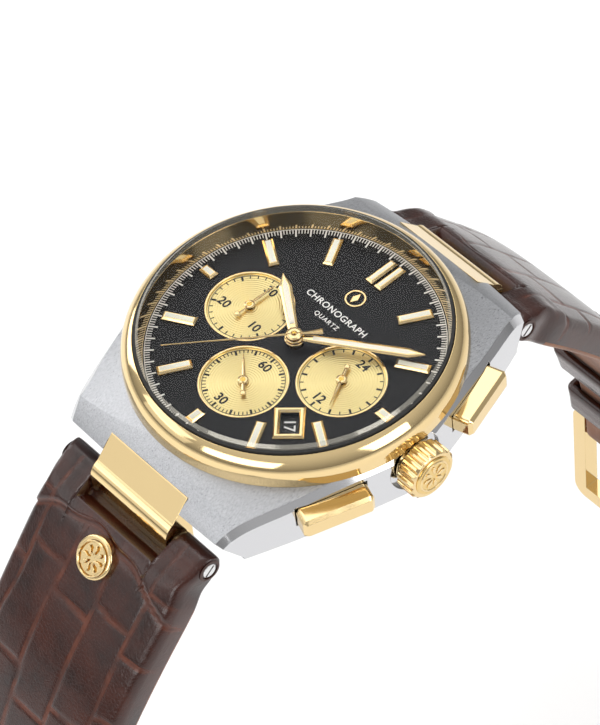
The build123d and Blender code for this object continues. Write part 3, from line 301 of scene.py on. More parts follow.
def circuit_laminate():
    """Green solder mask over glass cloth: glossy with the weave faintly showing."""
    made, tree, shader = surface("solder_mask_laminate", IOR=1.5)
    weave = add(tree, "ShaderNodeTexChecker", {"Vector": place_in_mm(tree), "Scale": 1 / 0.35,
                "Color1": linear("#14532B"), "Color2": linear("#1A5F33")})
    tree.links.new(weave.outputs[0], shader.inputs["Base Color"])
    wear(tree, shader, 0.2, 0.3, 0.8)
    return made


def rubber_seal():
    """Nitrile sealing ring: matt black with a dusty bloom."""
    made, tree, shader = surface("nitrile_rubber_seal", Base_Color=linear("#1B1B1B"), IOR=1.52)
    wear(tree, shader, 0.55, 0.75, 0.6)
    return made


# ------------------------------------------------------------------ leather


def glazed_crocodile_leather():
    """Padded calf stamped with a crocodile belly grain, dyed dark brown and glazed with agate:
    glossy scales, matt valleys, and a painted highlight in amber on the slopes of the valleys."""
    made, tree, shader = surface("glazed_crocodile_grain_leather", IOR=1.45, Coat_Weight=0.22,
                                 Coat_Roughness=0.1)
    valley = add(tree, "ShaderNodeAttribute", attribute_name="valley").outputs["Fac"]
    cloud = add(tree, "ShaderNodeTexNoise", {"Vector": place_in_mm(tree), "Scale": 1 / 5.0, "Detail": 6.0,
                "Roughness": 0.6})
    dye = add(tree, "ShaderNodeValToRGB", {"Fac": cloud.outputs[0]})
    dye.color_ramp.elements[0].position, dye.color_ramp.elements[0].color = 0.32, linear("#200B06")
    dye.color_ramp.elements[1].position, dye.color_ramp.elements[1].color = 0.7, linear("#40190C")
    amber = add(tree, "ShaderNodeTexNoise", {"Vector": place_in_mm(tree), "Scale": 1 / 3.0, "Detail": 4.0})
    # painted highlight: amber on the slopes of a valley, where the creases catch light; the plain dye along
    # its bottom
    both_sides = number(tree, "MULTIPLY", valley, number(tree, "SUBTRACT", 1.0, valley))
    slope = number(tree, "MULTIPLY", both_sides, 3.6)
    painted_crease_highlight = number(tree, "MULTIPLY", slope, add(tree, "ShaderNodeMapRange", {"Value": amber.outputs[0],
                    "From Min": 0.36, "From Max": 0.62, "To Min": 0.1, "To Max": 0.7}).outputs[0])
    # the dye mixed with the painted amber highlight on the valley slopes
    colour = add(tree, "ShaderNodeMix", {"Factor": painted_crease_highlight, 6: dye.outputs[0], 7: linear("#6E3215")},
                 data_type="RGBA")
    tree.links.new(colour.outputs[2], shader.inputs["Base Color"])
    # pores of the calf 0.45 mm apart, and hair lines
    pores = add(tree, "ShaderNodeTexVoronoi", {"Vector": place_in_mm(tree), "Scale": 1 / 0.45},
                feature="DISTANCE_TO_EDGE")
    creases = add(tree, "ShaderNodeTexNoise", {"Vector": place_in_mm(tree), "Scale": 1 / 1.6, "Detail": 8.0,
                  "Roughness": 0.65, "Distortion": 0.6})
    shallow = number(tree, "MINIMUM", pores.outputs[0], 0.12)
    grain = number(tree, "MULTIPLY_ADD", shallow, 1.6, creases.outputs[0])
    relief(tree, shader, grain, 0.045)
    rough = add(tree, "ShaderNodeMapRange", {"Value": number(tree, "MULTIPLY_ADD", creases.outputs[0], 0.35,
                valley), "From Min": 0.1, "From Max": 1.1, "To Min": 0.2, "To Max": 0.45})
    tree.links.new(rough.outputs[0], shader.inputs["Roughness"])
    return made


def lining_leather():
    """Vegetable-tanned calf lining: smooth, matt tan with fine pores."""
    made, tree, shader = surface("tan_calf_lining", IOR=1.45, Sheen_Weight=0.2)
    cloud = add(tree, "ShaderNodeTexNoise", {"Vector": place_in_mm(tree), "Scale": 1 / 4.0, "Detail": 8.0})
    tan = add(tree, "ShaderNodeValToRGB", {"Fac": cloud.outputs[0]})
    tan.color_ramp.elements[0].position, tan.color_ramp.elements[0].color = 0.3, linear("#6B3F22")
    tan.color_ramp.elements[1].position, tan.color_ramp.elements[1].color = 0.7, linear("#8A5733")
    tree.links.new(tan.outputs[0], shader.inputs["Base Color"])
    wear(tree, shader, 0.5, 0.7, 1.0)
    pores = add(tree, "ShaderNodeTexVoronoi", {"Vector": place_in_mm(tree), "Scale": 1 / 0.4})
    relief(tree, shader, pores.outputs[0], 0.03)
    return made


def waxed_edge():
    """Painted and waxed cut edge: dark, rounded and glossy with slight runs."""
    made, tree, shader = surface("waxed_leather_edge", Base_Color=linear("#3A1C10"), IOR=1.48)
    wear(tree, shader, 0.28, 0.45, 0.8)
    runs = add(tree, "ShaderNodeTexNoise", {"Vector": place_in_mm(tree), "Scale": 1 / 0.7, "Detail": 4.0})
    relief(tree, shader, runs.outputs[0], 0.05)
    return made


gold = polished_gold()
case_steel = brushed_case_steel()
polished_steel = grained_metal("polished_stainless_steel", "#E2E2E2", 0.12, 1.2, 0.001)
back_steel = turned_metal("circular_brushed_steel", "#D6D6D6", 0.26, 0.25, 0.01)
cap_gold = turned_metal("turned_gold_crown_cap", "#E6C684", 0.2, 0.22, 0.006, (0.0, 0.0, crown_axis), "X")
subdial_gold = azured_gold()
wheel_brass = turned_metal("turned_brass_wheels", "#D9B45C", 0.25, 0.2, 0.006)
nickel = grained_metal("nickel_plated_plate", "#CFCBC2", 0.33)
copper = wound_copper()
black_lacquer = dial_lacquer()
white_ink = printed_ink("white_pad_printing", "#F4F3EE")
black_ink = printed_ink("black_pad_printing", "#0E0D0C")
date_black = printed_ink("black_date_ring", "#101010")
lume = lume_paint()
clear_sapphire, rim_reflection_paint = coated_sapphire(), ground_sapphire()
seal = rubber_seal()
holder_plastic = moulded_plastic("moulded_acetal_holder", "#D9D8D0", 0.5)
laminate = circuit_laminate()
crocodile, lining = glazed_crocodile_leather(), lining_leather()
edge_wax = waxed_edge()

node_materials = {
    case_steel: ["case_middle"],
    back_steel: ["case_back"],
    polished_steel: ["case_back_screws", "lug_screws", "strap_bars", "crown_tube", "pusher_tubes", "stem",
                     "start_spring", "reset_spring", "buckle_bar"],
    gold: ["bezel", "flange_ring", "hour_markers", "date_frame", "lug_12", "lug_6", "start_pusher",
           "reset_pusher", "crown", "strap_stud", "buckle_frame", "buckle_tongue"],
    cap_gold: ["crown_cap"],
    subdial_gold: ["subdial_plates"],
    wheel_brass: ["centre_wheel", "minute_wheel", "hour_wheel", "idler_wheel", "day_wheel", "chrono_pinion",
                  "chrono_wheel", "counter_wheel", "third_wheel", "seconds_pinion", "clutch_pinion"],
    nickel: ["main_plate", "train_bridge", "battery", "rotor"],
    copper: ["coil"],
    black_lacquer: ["dial"],
    date_black: ["date_disc"],
    lume: ["marker_lume"],
    seal: ["crystal_gasket", "case_back_gasket"],
    holder_plastic: ["movement_holder"],
    laminate: ["circuit_board"],
}
for material, names in node_materials.items():
    for name in names:
        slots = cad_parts[name].data.materials
        slots.clear()
        slots.append(material)

# ------------------------------------------------------------------ making pieces


def piece(name, points, faces, body, *materials, smooth_faces=True, face_material=None):
    """A mesh from points in mm, riding on a body."""
    mesh = bpy.data.meshes.new(name)
    mesh.from_pydata((np.asarray(points, float) * MM).tolist(), [], [list(map(int, f)) for f in faces])
    for material in materials:
        mesh.materials.append(material)
    if face_material is not None:
        mesh.polygons.foreach_set("material_index", np.asarray(face_material, np.int32))
    mesh.polygons.foreach_set("use_smooth", [smooth_faces] * len(mesh.polygons))
    mesh.update()
    made = bpy.data.objects.new(name, mesh)
    bpy.context.scene.collection.objects.link(made)
    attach(made, body)
    return made


def clock(radius, degrees):
    """A point on the dial at an angle read clockwise from 12 o'clock."""
    turn = math.radians(degrees)
    return (radius * math.sin(turn), radius * math.cos(turn))


class Print:
    """Thin raised shapes gathered into one printed layer."""

    def __init__(self):
        self.points, self.faces = [], []

    def shape(self, corners, low, high):
        """A flat shape with straight walls."""
        start, count = len(self.points), len(corners)
        self.points += [(x, y, low) for x, y in corners] + [(x, y, high) for x, y in corners]
        self.faces.append([start + count + i for i in range(count)])
        self.faces += [[start + i, start + (i + 1) % count, start + count + (i + 1) % count,
                        start + count + i] for i in range(count)]

    def tick(self, centre, degrees, inner, outer, width, low, high):
        """A radial line around a centre."""
        turn = math.radians(degrees)
        along, across = (math.sin(turn), math.cos(turn)), (math.cos(turn), -math.sin(turn))
        self.shape([(centre[0] + r * along[0] + s * width / 2 * across[0],
                     centre[1] + r * along[1] + s * width / 2 * across[1])
                    for r, s in ((inner, 1), (inner, -1), (outer, -1), (outer, 1))], low, high)

    def ring(self, centre, inner, outer, low, high, steps=120):
        """A flat ring."""
        start = len(self.points)
        for step in range(steps):
            turn = 2 * math.pi * step / steps
            for radius, z in ((inner, low), (inner, high), (outer, high), (outer, low)):
                self.points.append((centre[0] + radius * math.sin(turn),
                                    centre[1] + radius * math.cos(turn), z))
        for step in range(steps):
            here, there = start + 4 * step, start + 4 * ((step + 1) % steps)
            self.faces += [[here + i, here + i + 1, there + i + 1, there + i] for i in range(3)]

    def made(self, name, body, material):
        return piece(name, self.points, self.faces, body, material, smooth_faces=False)


def lettering(text, size, matrix, height, spacing=1.0, bold=0.0):
    """Points and faces of raised lettering, in mm, laid out by a matrix."""
    curve = bpy.data.curves.new("letters", "FONT")
    curve.body, curve.size, curve.extrude = text, size, height
    curve.align_x, curve.align_y = "CENTER", "CENTER"
    curve.space_character, curve.offset = spacing, bold
    curve.resolution_u = 6
    letters = bpy.data.objects.new("letters", curve)
    bpy.context.scene.collection.objects.link(letters)
    bpy.context.view_layer.update()
    mesh = bpy.data.meshes.new_from_object(letters.evaluated_get(bpy.context.evaluated_depsgraph_get()))
    low, high = (Vector([f(v.co[i] for v in mesh.vertices) for i in range(3)]) for f in (min, max))
    middle = (low + high) / 2
    points = [tuple(matrix @ (Vector(v.co) - middle)) for v in mesh.vertices]
    faces = [list(p.vertices) for p in mesh.polygons]
    bpy.data.objects.remove(letters)
    bpy.data.curves.remove(curve)
    bpy.data.meshes.remove(mesh)
    return points, faces


def laid(x, y, z, degrees=0.0):
    """Lettering lying flat, its top towards a clock angle."""
    return Matrix.Translation((x, y, z)) @ Matrix.Rotation(-math.radians(degrees), 4, "Z")


def lettered(name, body, material, texts):
    """One layer of lettering from (text, size, matrix, height, spacing, bold)."""
    points, faces = [], []
    for entry in texts:
        new_points, new_faces = lettering(*entry)
        faces += [[len(points) + i for i in face] for face in new_faces]
        points += new_points
    return piece(name, points, faces, body, material, smooth_faces=False)


# ------------------------------------------------------------------ dial printing

ink = 0.02
print_low, print_high = dial_top, dial_top + ink
track = Print()
track_outer = 17.3
for mark in range(300):
    long_mark = mark % 5 == 0
    track.tick((0, 0), mark * 1.2, track_outer - (1.1 if long_mark else 0.62), track_outer,
               0.2 if long_mark else 0.115, print_low, print_high)
track.ring((0, 0), track_outer - 0.02, track_outer + 0.06, print_low, print_high, 300)
track.made("minute_track", "case", white_ink)

lettered("dial_wording", "case", white_ink, [
    ("CHRONOGRAPH", 1.2, laid(0, 6.35, dial_top), 0.015, 1.1, 0.016),
    ("QUARTZ", 0.85, laid(0, 4.75, dial_top), 0.015, 1.2, 0.008),
])

small_low, small_high = subdial_top, subdial_top + ink
scales = Print()
scale_radius = 4.72
long_tick = 0.62
# how many ticks, how many to a long one, widths of long and short ones, length of a short one
scale_ticks = {"seconds": (60, 5, 0.27, 0.12, 0.42), "day": (24, 2, 0.26, 0.13, 0.4),
               "counter": (30, 5, 0.26, 0.13, 0.42)}
for dial, (ticks, group, wide, narrow, short_tick) in scale_ticks.items():
    for step in range(ticks):
        is_long = step % group == 0
        scales.tick(subdials[dial], 360 / ticks * step, scale_radius - (long_tick if is_long else short_tick),
                    scale_radius, wide if is_long else narrow, small_low, small_high)
for centre in subdials.values():
    scales.ring(centre, scale_radius + 0.02, scale_radius + 0.1, small_low, small_high)
scales.made("subdial_scales", "case", black_ink)


def figures(dial, *places):
    """Sub-dial figures at clock angles, upright."""
    x, y = subdials[dial]
    laid_out = []
    for text, degrees, radius in places:
        dx, dy = clock(radius, degrees)
        laid_out.append((text, 1.6, laid(x + dx, y + dy, subdial_top), 0.015, 1.0, 0.04))
    return laid_out


lettered("subdial_figures", "case", black_ink,
         figures("seconds", ("60", 0, 3.3), ("30", 180, 3.3))
         + figures("day", ("24", 0, 3.3), ("12", 180, 3.3))
         + figures("counter", ("30", 0, 3.3), ("10", 120, 3.1), ("20", 240, 3.1)))

rims = Print()
for centre in subdials.values():
    rims.ring(centre, subdial_radius - 0.22, subdial_radius - 0.02, subdial_top, dial_top + 0.08, 120)
rims.made("subdial_rims", "case", gold)

# plain applied emblem: a ring with an upright lozenge
emblem = Print()
emblem_y = 9.3
emblem.ring((0, emblem_y), 1.05, 1.25, dial_top, dial_top + 0.14, 72)
emblem.shape([(0.0, emblem_y + 0.85), (-0.42, emblem_y), (0.0, emblem_y - 0.85), (0.42, emblem_y)],
             dial_top, dial_top + 0.16)
emblem.made("dial_emblem", "case", gold)

# figures 1 to 31 read outwards; 17 stands in the window at rest
date_window_angle, shown_day, date_radius = 135.0, 17, 11.7
days = []
for day in range(1, 32):
    degrees = date_window_angle + (day - shown_day) * 360 / 31
    x, y = clock(date_radius, degrees)
    days.append((str(day), 1.9, laid(x, y, date_top, degrees - 90), 0.012, 0.92, 0.02))
lettered("date_figures", "date", white_ink, days)

# ------------------------------------------------------------------ crystal


def turned(points, faces, centre, profile, steps):
    """Add a closed ring, turned about a vertical axis from (radius, height) points."""
    start, count = len(points), len(profile)
    for step in range(steps):
        angle = 2 * math.pi * step / steps
        points += [(centre[0] + r * math.cos(angle), centre[1] + r * math.sin(angle), z) for r, z in profile]
    for step in range(steps):
        here, there = start + step * count, start + (step + 1) % steps * count
        faces += [[here + i, there + i, there + (i + 1) % count, here + (i + 1) % count]
                  for i in range(count)]


glass_radius, glass_chamfer = crystal_high.x, 0.35
glass_steps, glass_points, glass_faces = 240, [], []
turned(glass_points, glass_faces, (0.0, 0.0), [
    (0.02, crystal_high.z), (glass_radius - glass_chamfer, crystal_high.z),
    (glass_radius, crystal_high.z - glass_chamfer), (glass_radius, crystal_low.z), (0.02, crystal_low.z),
], glass_steps)
# the bevel and the wall carry the painted reflection, a pale grey ring
glass = piece("bevelled_crystal", glass_points, glass_faces, "case", clear_sapphire, rim_reflection_paint,
              smooth_faces=False, face_material=[0, 1, 1, 0, 0] * glass_steps)
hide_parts("crystal")

# ------------------------------------------------------------------ hands

hand_angles = {"hour_hand": 304.0, "minute_hand": 56.0, "chrono_hand": 219.0, "seconds_hand": 312.0,
               "counter_hand": 0.0, "day_hand": 152.0}


blade_thickness = 0.18


def faceted_hand(node, body, length, width, hub, stripe_start, stripe_end, stripe_width, bore):
    """A baton hand: sloped polished facets, a pointed tip and a lume stripe in the middle."""
    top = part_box(node)[1].z / MM
    bottom = top - blade_thickness
    turn = math.radians(hand_angles[node])
    along, across = (math.sin(turn), math.cos(turn)), (math.cos(turn), -math.sin(turn))

    def spot(s, x, z):
        return (s * along[0] + x * across[0], s * along[1] + x * across[1], z)

    # outline stations: distance along the hand and half width
    outline = [(0.0, width * 0.28), (0.0, width * 0.28), (stripe_start, width * 0.40),
               (length - 1.9, width / 2), (length, 0.012)]
    points, faces = [], []
    for s, half in outline:
        flat = half * 0.55
        points += [spot(s, -half, bottom), spot(s, -half, bottom + 0.05), spot(s, -flat, top),
                   spot(s, flat, top), spot(s, half, bottom + 0.05), spot(s, half, bottom)]
    for i in range(len(outline) - 1):
        here, there = 6 * i, 6 * (i + 1)
        faces += [[here + j, here + (j + 1) % 6, there + (j + 1) % 6, there + j] for j in range(6)]
    faces += [[0, 1, 2, 3, 4, 5], [6 * len(outline) - 6 + j for j in (5, 4, 3, 2, 1, 0)]]
    # hub: a turned boss with a soft shoulder
    turned(points, faces, (0.0, 0.0), [(bore, bottom), (bore, top), (hub - 0.12, top), (hub, top - 0.06),
                                       (hub, bottom)], 60)
    blade = piece(node + "_blade", points, faces, body, gold, smooth_faces=False)
    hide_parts(node)
    # lume stripe, slightly domed
    stripe, stripe_faces = [], []
    stations = 12
    for s in np.linspace(stripe_start, stripe_end, stations):
        pinch = stripe_width / 2 * min(1.0, (stripe_end - s) / 0.9 + 0.05)
        stripe += [spot(s, -pinch, top), spot(s, -pinch * 0.7, top + 0.025), spot(s, 0, top + 0.035),
                   spot(s, pinch * 0.7, top + 0.025), spot(s, pinch, top)]
    for i in range(stations - 1):
        stripe_faces += [[5 * i + j, 5 * i + j + 1, 5 * i + j + 6, 5 * i + j + 5] for j in range(4)]
    stripe_faces += [[0, 1, 2, 3, 4], [5 * stations - 1 - j for j in range(5)]]
    piece(node + "_lume", stripe, stripe_faces, body, lume)


faceted_hand("hour_hand", "hour", 10.0, 1.55, 1.15, 2.2, 9.0, 0.62, 0.95)
faceted_hand("minute_hand", "minute", 15.3, 1.35, 1.1, 2.2, 14.2, 0.55, 0.65)


def needle(node, body, centre, outline, hub, ball=None):
    """A slim polished hand: a ridged blade, a domed hub and, on the small hands, a round tail."""
    thick = 0.12 if ball else 0.15
    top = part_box(node)[1].z / MM
    bottom = top - thick
    turn = math.radians(hand_angles[node])
    along, across = (math.sin(turn), math.cos(turn)), (math.cos(turn), -math.sin(turn))

    def spot(s, x, z):
        return (centre[0] + s * along[0] + x * across[0], centre[1] + s * along[1] + x * across[1], z)

    points, faces = [], []
    for s, half in outline:
        points += [spot(s, -half, bottom), spot(s, -half, bottom + 0.03), spot(s, 0, top),
                   spot(s, half, bottom + 0.03), spot(s, half, bottom)]
    for i in range(len(outline) - 1):
        here, there = 5 * i, 5 * (i + 1)
        faces += [[here + j, here + (j + 1) % 5, there + (j + 1) % 5, there + j] for j in range(5)]
    faces += [[0, 1, 2, 3, 4], [5 * len(outline) - 5 + j for j in (4, 3, 2, 1, 0)]]
    rounds = [(0.0, 0.0, hub, 0.3 if ball else 0.36)]
    if ball:
        x, y = spot(ball[0], ball[1], 0)[:2]
        rounds.append((x - centre[0], y - centre[1], ball[2], 0.02))
    for x, y, radius, bore in rounds:
        dome = [(bore, bottom), (bore, top), (radius * 0.72, top), (radius, top - thick * 0.55),
                (radius, bottom)]
        turned(points, faces, (centre[0] + x, centre[1] + y), dome, 48)
    made = piece(node + "_needle", points, faces, body, gold, smooth_faces=False)
    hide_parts(node)


needle("chrono_hand", "chrono", (0.0, 0.0),
       [(-3.3, 0.42), (-0.8, 0.16), (1.0, 0.16), (15.2, 0.07)], 0.95)
for dial in subdials:
    needle(dial + "_hand", dial, subdials[dial], [(-1.7, 0.2), (1.4, 0.2), (3.9, 0.04)], 0.62,
           (-1.9, 0.0, 0.34))

# ------------------------------------------------------------------ strap

strap_width, strap_end_width = 24.3, 20.0
short_half, long_half = 75.0, 115.0
pad_top, roll_radius, tip_half = 3.55, 1.8, 1.25
edge_round, end_round = 0.9, 1.2
flap_step = 0.42             # how far the glued flap stands over the pad
notch_half, notch_top_start, notch_under_start = 6.95, 2.3, 1.5
stud_station, seat_radius = 6.6, 2.75
# degrees below horizontal at the bar, degrees per mm and degrees per mm squared
start_slope, curl, curl_growth = 46.0, 0.30, 0.0042


def strap_slope(station):
    """Angle of the strap below horizontal at a distance along it from the bar."""
    return np.radians(start_slope + curl * station + curl_growth * station ** 2)


table_step = 0.05
table = np.arange(0, long_half + 6, table_step)
step_slope = strap_slope(table[:-1] + table_step / 2)
table_y = bar_reach + np.concatenate([[0], np.cumsum(np.cos(step_slope))]) * table_step
table_z = bar_height - np.concatenate([[0], np.cumsum(np.sin(step_slope))]) * table_step


def over_strap(side, station, x, height):
    """Points at a distance along the strap, across it and over its line; arrays or numbers."""
    station, x, height = np.broadcast_arrays(np.asarray(station, float), x, height)
    ahead = np.maximum(station, 0)
    slope = strap_slope(ahead)
    behind = np.minimum(station, 0)
    y = np.interp(ahead, table, table_y) + behind * np.cos(slope) + height * np.sin(slope)
    z = np.interp(ahead, table, table_z) - behind * np.sin(slope) + height * np.cos(slope)
    return np.stack([x, side * y, z], axis=-1)


def leather_levels(station, length):
    """Top and underside of the leather over the strap's line."""
    taper = smooth(6, 6 + 0.55 * length, station)
    top = pad_top + (tip_half - pad_top) * taper
    # the leather leaves the roll around the bar and climbs to the padding
    top = roll_radius + (top - roll_radius) * smooth(-0.6, 4.2, station)
    return top, -roll_radius - (tip_half - roll_radius) * taper


def half_width(station, length):
    """Half width of the leather along the strap."""
    z = np.interp(np.maximum(station, 0), table, table_z)
    # the long half curls up again at its end, so a share of its length stands for its depth
    deep = bar_height - 0.8 * length if length == long_half else np.interp(length, table, table_z)
    taper_start = bar_height - 6
    share = np.clip((taper_start - z) / (taper_start - deep), 0, 1)
    half = (strap_width + (strap_end_width - strap_width) * share) / 2
    return half - 0.35 * np.exp(-((station - 3.2) / 1.6) ** 2)


def noise(x, y, seed):
    """Smooth value noise in the range 0 to 1."""
    def corner(i, j):
        mixed = np.sin(i * 127.1 + j * 311.7 + seed * 74.7) * 43758.5453
        return mixed - np.floor(mixed)
    i, j = np.floor(x), np.floor(y)
    u, v = x - i, y - j
    u, v = u * u * (3 - 2 * u), v * v * (3 - 2 * v)
    return ((corner(i, j) * (1 - u) + corner(i + 1, j) * u) * (1 - v)
            + (corner(i, j + 1) * (1 - u) + corner(i + 1, j + 1) * u) * v)


def crocodile_grain(x, station, seed):
    """Depth of the valleys between stamped scales, 0 on a scale to 1 in a valley."""
    wander = 0.9 * (noise(x / 5, station / 7, seed) - 0.5)
    drift = 1.6 * (noise(x / 6, station / 9, seed + 5) - 0.5)
    # four long rows of large scales, with narrower ones at the edges
    rows = np.array([-9.3, -3.4, 2.6, 8.6])
    to_row = np.min(np.abs(x[..., None] + wander[..., None] - rows), axis=-1)
    row = np.sum((x + wander)[..., None] > rows, axis=-1)
    pitch = np.where((row == 0) | (row == 4), 8.5, 14.0)
    offset = np.array([4.0, 9.5, 13.0, 10.5, 5.0])[row]
    along = (station + drift - offset) / pitch
    to_band = np.abs(along - np.round(along)) * pitch
    valley = np.maximum(1 - to_row / 0.33, 1 - to_band / 0.36)
    faint = 0.55 + 0.45 * noise(x / 4, station / 4, seed + 9)
    return np.clip(valley, 0, 1) ** 1.3 * faint


def flap_edge(x):
    """Where the end of the leather, folded around the bar, is skived and glued down on the pad."""
    return 3.4 + 3.6 * ((x + 1.2) / 12) ** 2 + 0.25 * np.sin(x * 0.9)


def strap_stations(length, notched):
    """Distances along the strap of each row and column of its mesh, and where each column starts."""
    rise = 1 - np.cos(np.linspace(0, math.pi / 2, 12))
    whole = length + roll_radius
    run = np.concatenate([rise * roll_radius, np.arange(2.2, whole - end_round, 0.42),
                          whole - end_round * (1 - np.sin(np.linspace(0.15, math.pi / 2, 6)))])
    common = run[:, None] - roll_radius
    start = np.where(notched, notch_top_start, -roll_radius)[None, :]
    # near the bar the notch columns are packed closer; from join on, all columns share their stations
    join = 8.0
    packed = start + (common + roll_radius) / (join + roll_radius) * (join - start)
    return np.where(common < join, packed, common), start


def quarter_round(share):
    """A quarter circle rising from 0 to 1."""
    return np.sqrt(np.maximum(1 - (1 - share) ** 2, 0))


def leather_half(name, node, body, side, length, seed, round_tip):
    """One padded half of the strap: crowned top, rounded edges, a roll around the bar and a notch
    for the centre lug."""
    inside = np.linspace(-notch_half + 0.08, notch_half - 0.08, 37)
    full = strap_width / 2
    bend = full - edge_round * (1 - np.cos(np.linspace(0, math.pi / 2, 7)))
    right = np.concatenate([np.linspace(notch_half + 0.02, bend[-1], 15)[:-1], bend[::-1]])
    columns = np.concatenate([-right[::-1], inside, right])
    share = columns / full
    notched = np.abs(columns) < notch_half
    station, start = strap_stations(length, notched)
    widths = half_width(station, length)
    if round_tip:
        tip_start = length - strap_end_width / 2
        reach = np.clip((station - tip_start) / (length - tip_start), 0, 1)
        widths = widths * np.sqrt(np.maximum(1 - reach ** 2.2, 0.0004))
    x = share[None, :] * widths
    top, under = leather_levels(station, length)
    # rounded front and free end, and rounded side edges
    start_run = np.where(notched, 0.3, roll_radius)[None, :]
    swell = quarter_round(np.clip((station - start) / start_run, 0, 1))
    swell = swell * (0.35 + 0.65 * quarter_round(np.clip((length - station) / end_round, 0, 1)))
    edge = np.clip((1 - np.abs(share)) * full / edge_round, 0, 1)[None, :]
    rounding = quarter_round(edge)
    middle = np.where(notched[None, :], (top + under) / 2, 0.0) * np.ones_like(station)
    # the pad is crowned and lies flatter along the edges
    pad = (1 - np.abs(share[None, :]) ** 3.2) * smooth(0.5, 6, station)
    padding_left = np.clip((top - tip_half) / (pad_top - tip_half), 0.1, 1)
    crown = 0.9 * (1 - pad) * smooth(0.5, 6, station) * padding_left
    valley = crocodile_grain(x, station, seed) * smooth(-0.5, 0.9, edge) * smooth(0.2, 1.2, station - start)
    # the flap around the bar lies on the pad, and a groove runs along its end
    past_flap = station - flap_edge(x)
    over = 1 - smooth(-0.22, 0.22, past_flap)
    valley = np.maximum(valley * (1 - 0.6 * over), np.exp(-((past_flap - 0.35) / 0.3) ** 2))
    lift = (flap_step * over - flap_step) * smooth(0.8, 2.6, station) * (1 - smooth(9, 22, station))
    upper = (middle + (top - middle - crown + lift) * swell * (0.45 + 0.55 * rounding)
             - 0.2 * valley * swell)
    lower = middle + (under - middle) * swell * (0.6 + 0.4 * rounding)
    # a round seat for the stud
    to_stud = np.hypot(x, station - stud_station)
    upper = np.where(to_stud < seat_radius, np.minimum(upper, pad_top - flap_step), upper)
    outside = over_strap(side, station, x, upper).reshape(-1, 3)
    # in the notch the lining reaches further in under the lug than the top does
    tuck = np.where(notched, notch_top_start - notch_under_start, 0)[None, :]
    inner = over_strap(side, station - tuck * (1 - smooth(2, 6, station)), x, lower).reshape(-1, 3)
    rows, count = station.shape
    low = rows * count
    grid = np.arange(low).reshape(rows, count)
    a, b, c, d = grid[:-1, :-1], grid[:-1, 1:], grid[1:, 1:], grid[1:, :-1]
    top_faces = np.stack([a, b, c, d], -1).reshape(-1, 4)
    under_faces = top_faces[:, ::-1] + low
    rims = []
    for near, far, flip in ((grid[:-1, 0], grid[1:, 0], 1), (grid[:-1, -1], grid[1:, -1], -1),
                            (grid[0, :-1], grid[0, 1:], -1), (grid[-1, :-1], grid[-1, 1:], 1)):
        rims.append(np.stack([near, far, far + low, near + low], -1)[:, ::flip])
    faces = np.concatenate([top_faces, under_faces, *rims])
    if side < 0:
        faces = faces[:, ::-1]
    # the roll is one skin: its underside near the bar is the same stamped leather
    roll_rows = 24
    lined = (np.arange(len(under_faces)) // (count - 1) >= roll_rows).astype(float)
    chosen = np.concatenate([np.zeros(len(top_faces)), lined, np.zeros(sum(len(r) for r in rims))])
    made = piece(name, np.concatenate([outside, inner]), faces, body, crocodile, lining, face_material=chosen)
    depths = made.data.attributes.new("valley", "FLOAT", "POINT")
    depths.data.foreach_set("value", np.concatenate([valley.ravel(), np.zeros(low)]).astype(np.float32))
    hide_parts(node)


leather_half("padded_strap_12", "strap_12", "strap_12", 1, short_half, 3, False)
leather_half("padded_strap_6", "strap_6", "strap_6", -1, long_half, 8, True)

# ------------------------------------------------------------------ keepers


keeper_rise = 2.9            # free height over the short half


def leather_loop(name, node, body, station):
    """A keeper: a flat leather band bent around the strap, with rounded edges."""
    top, under = leather_levels(np.float64(station), short_half)
    low, high = float(under) - 0.3, float(top) + keeper_rise
    half = float(half_width(np.float64(station), short_half)) + 0.45
    thick, width, corner = 1.0, 5.0, 1.1
    out, up, down = half + thick - corner, high + thick - corner, low - thick + corner
    path = []
    for cx, cz, begin in ((out, up, 0), (-out, up, 90), (-out, down, 180), (out, down, 270)):
        for step in range(7):
            turn = math.radians(begin + 15 * step)
            path.append((cx, cz, math.cos(turn), math.sin(turn)))
    # section of the band: share of half its width, share of its thickness
    section = ((-1, 0.0), (-1, 0.75), (-0.86, 1.0), (-0.3, 1.0), (0.3, 1.0), (0.86, 1.0), (1, 0.75), (1, 0.0))
    points, faces = [], []
    for cx, cz, nx, nz in path:
        for u, v in section:
            radius = corner - thick + thick * v
            points.append(over_strap(1, station + u * width / 2, cx + nx * radius, cz + nz * radius))
    count, turns = len(section), len(path)
    for i in range(turns):
        here, there = i * count, (i + 1) % turns * count
        faces += [[here + j, there + j, there + (j + 1) % count, here + (j + 1) % count]
                  for j in range(count)]
    made = piece(name, points, faces, body, crocodile)
    made.data.attributes.new("valley", "FLOAT", "POINT")
    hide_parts(node)


leather_loop("leather_keeper_fixed", "fixed_keeper", "strap_12", 66.0)
leather_loop("leather_keeper_free", "free_keeper", "free_keeper", 56.0)

# ------------------------------------------------------------------ bar ends, stud and crown motifs


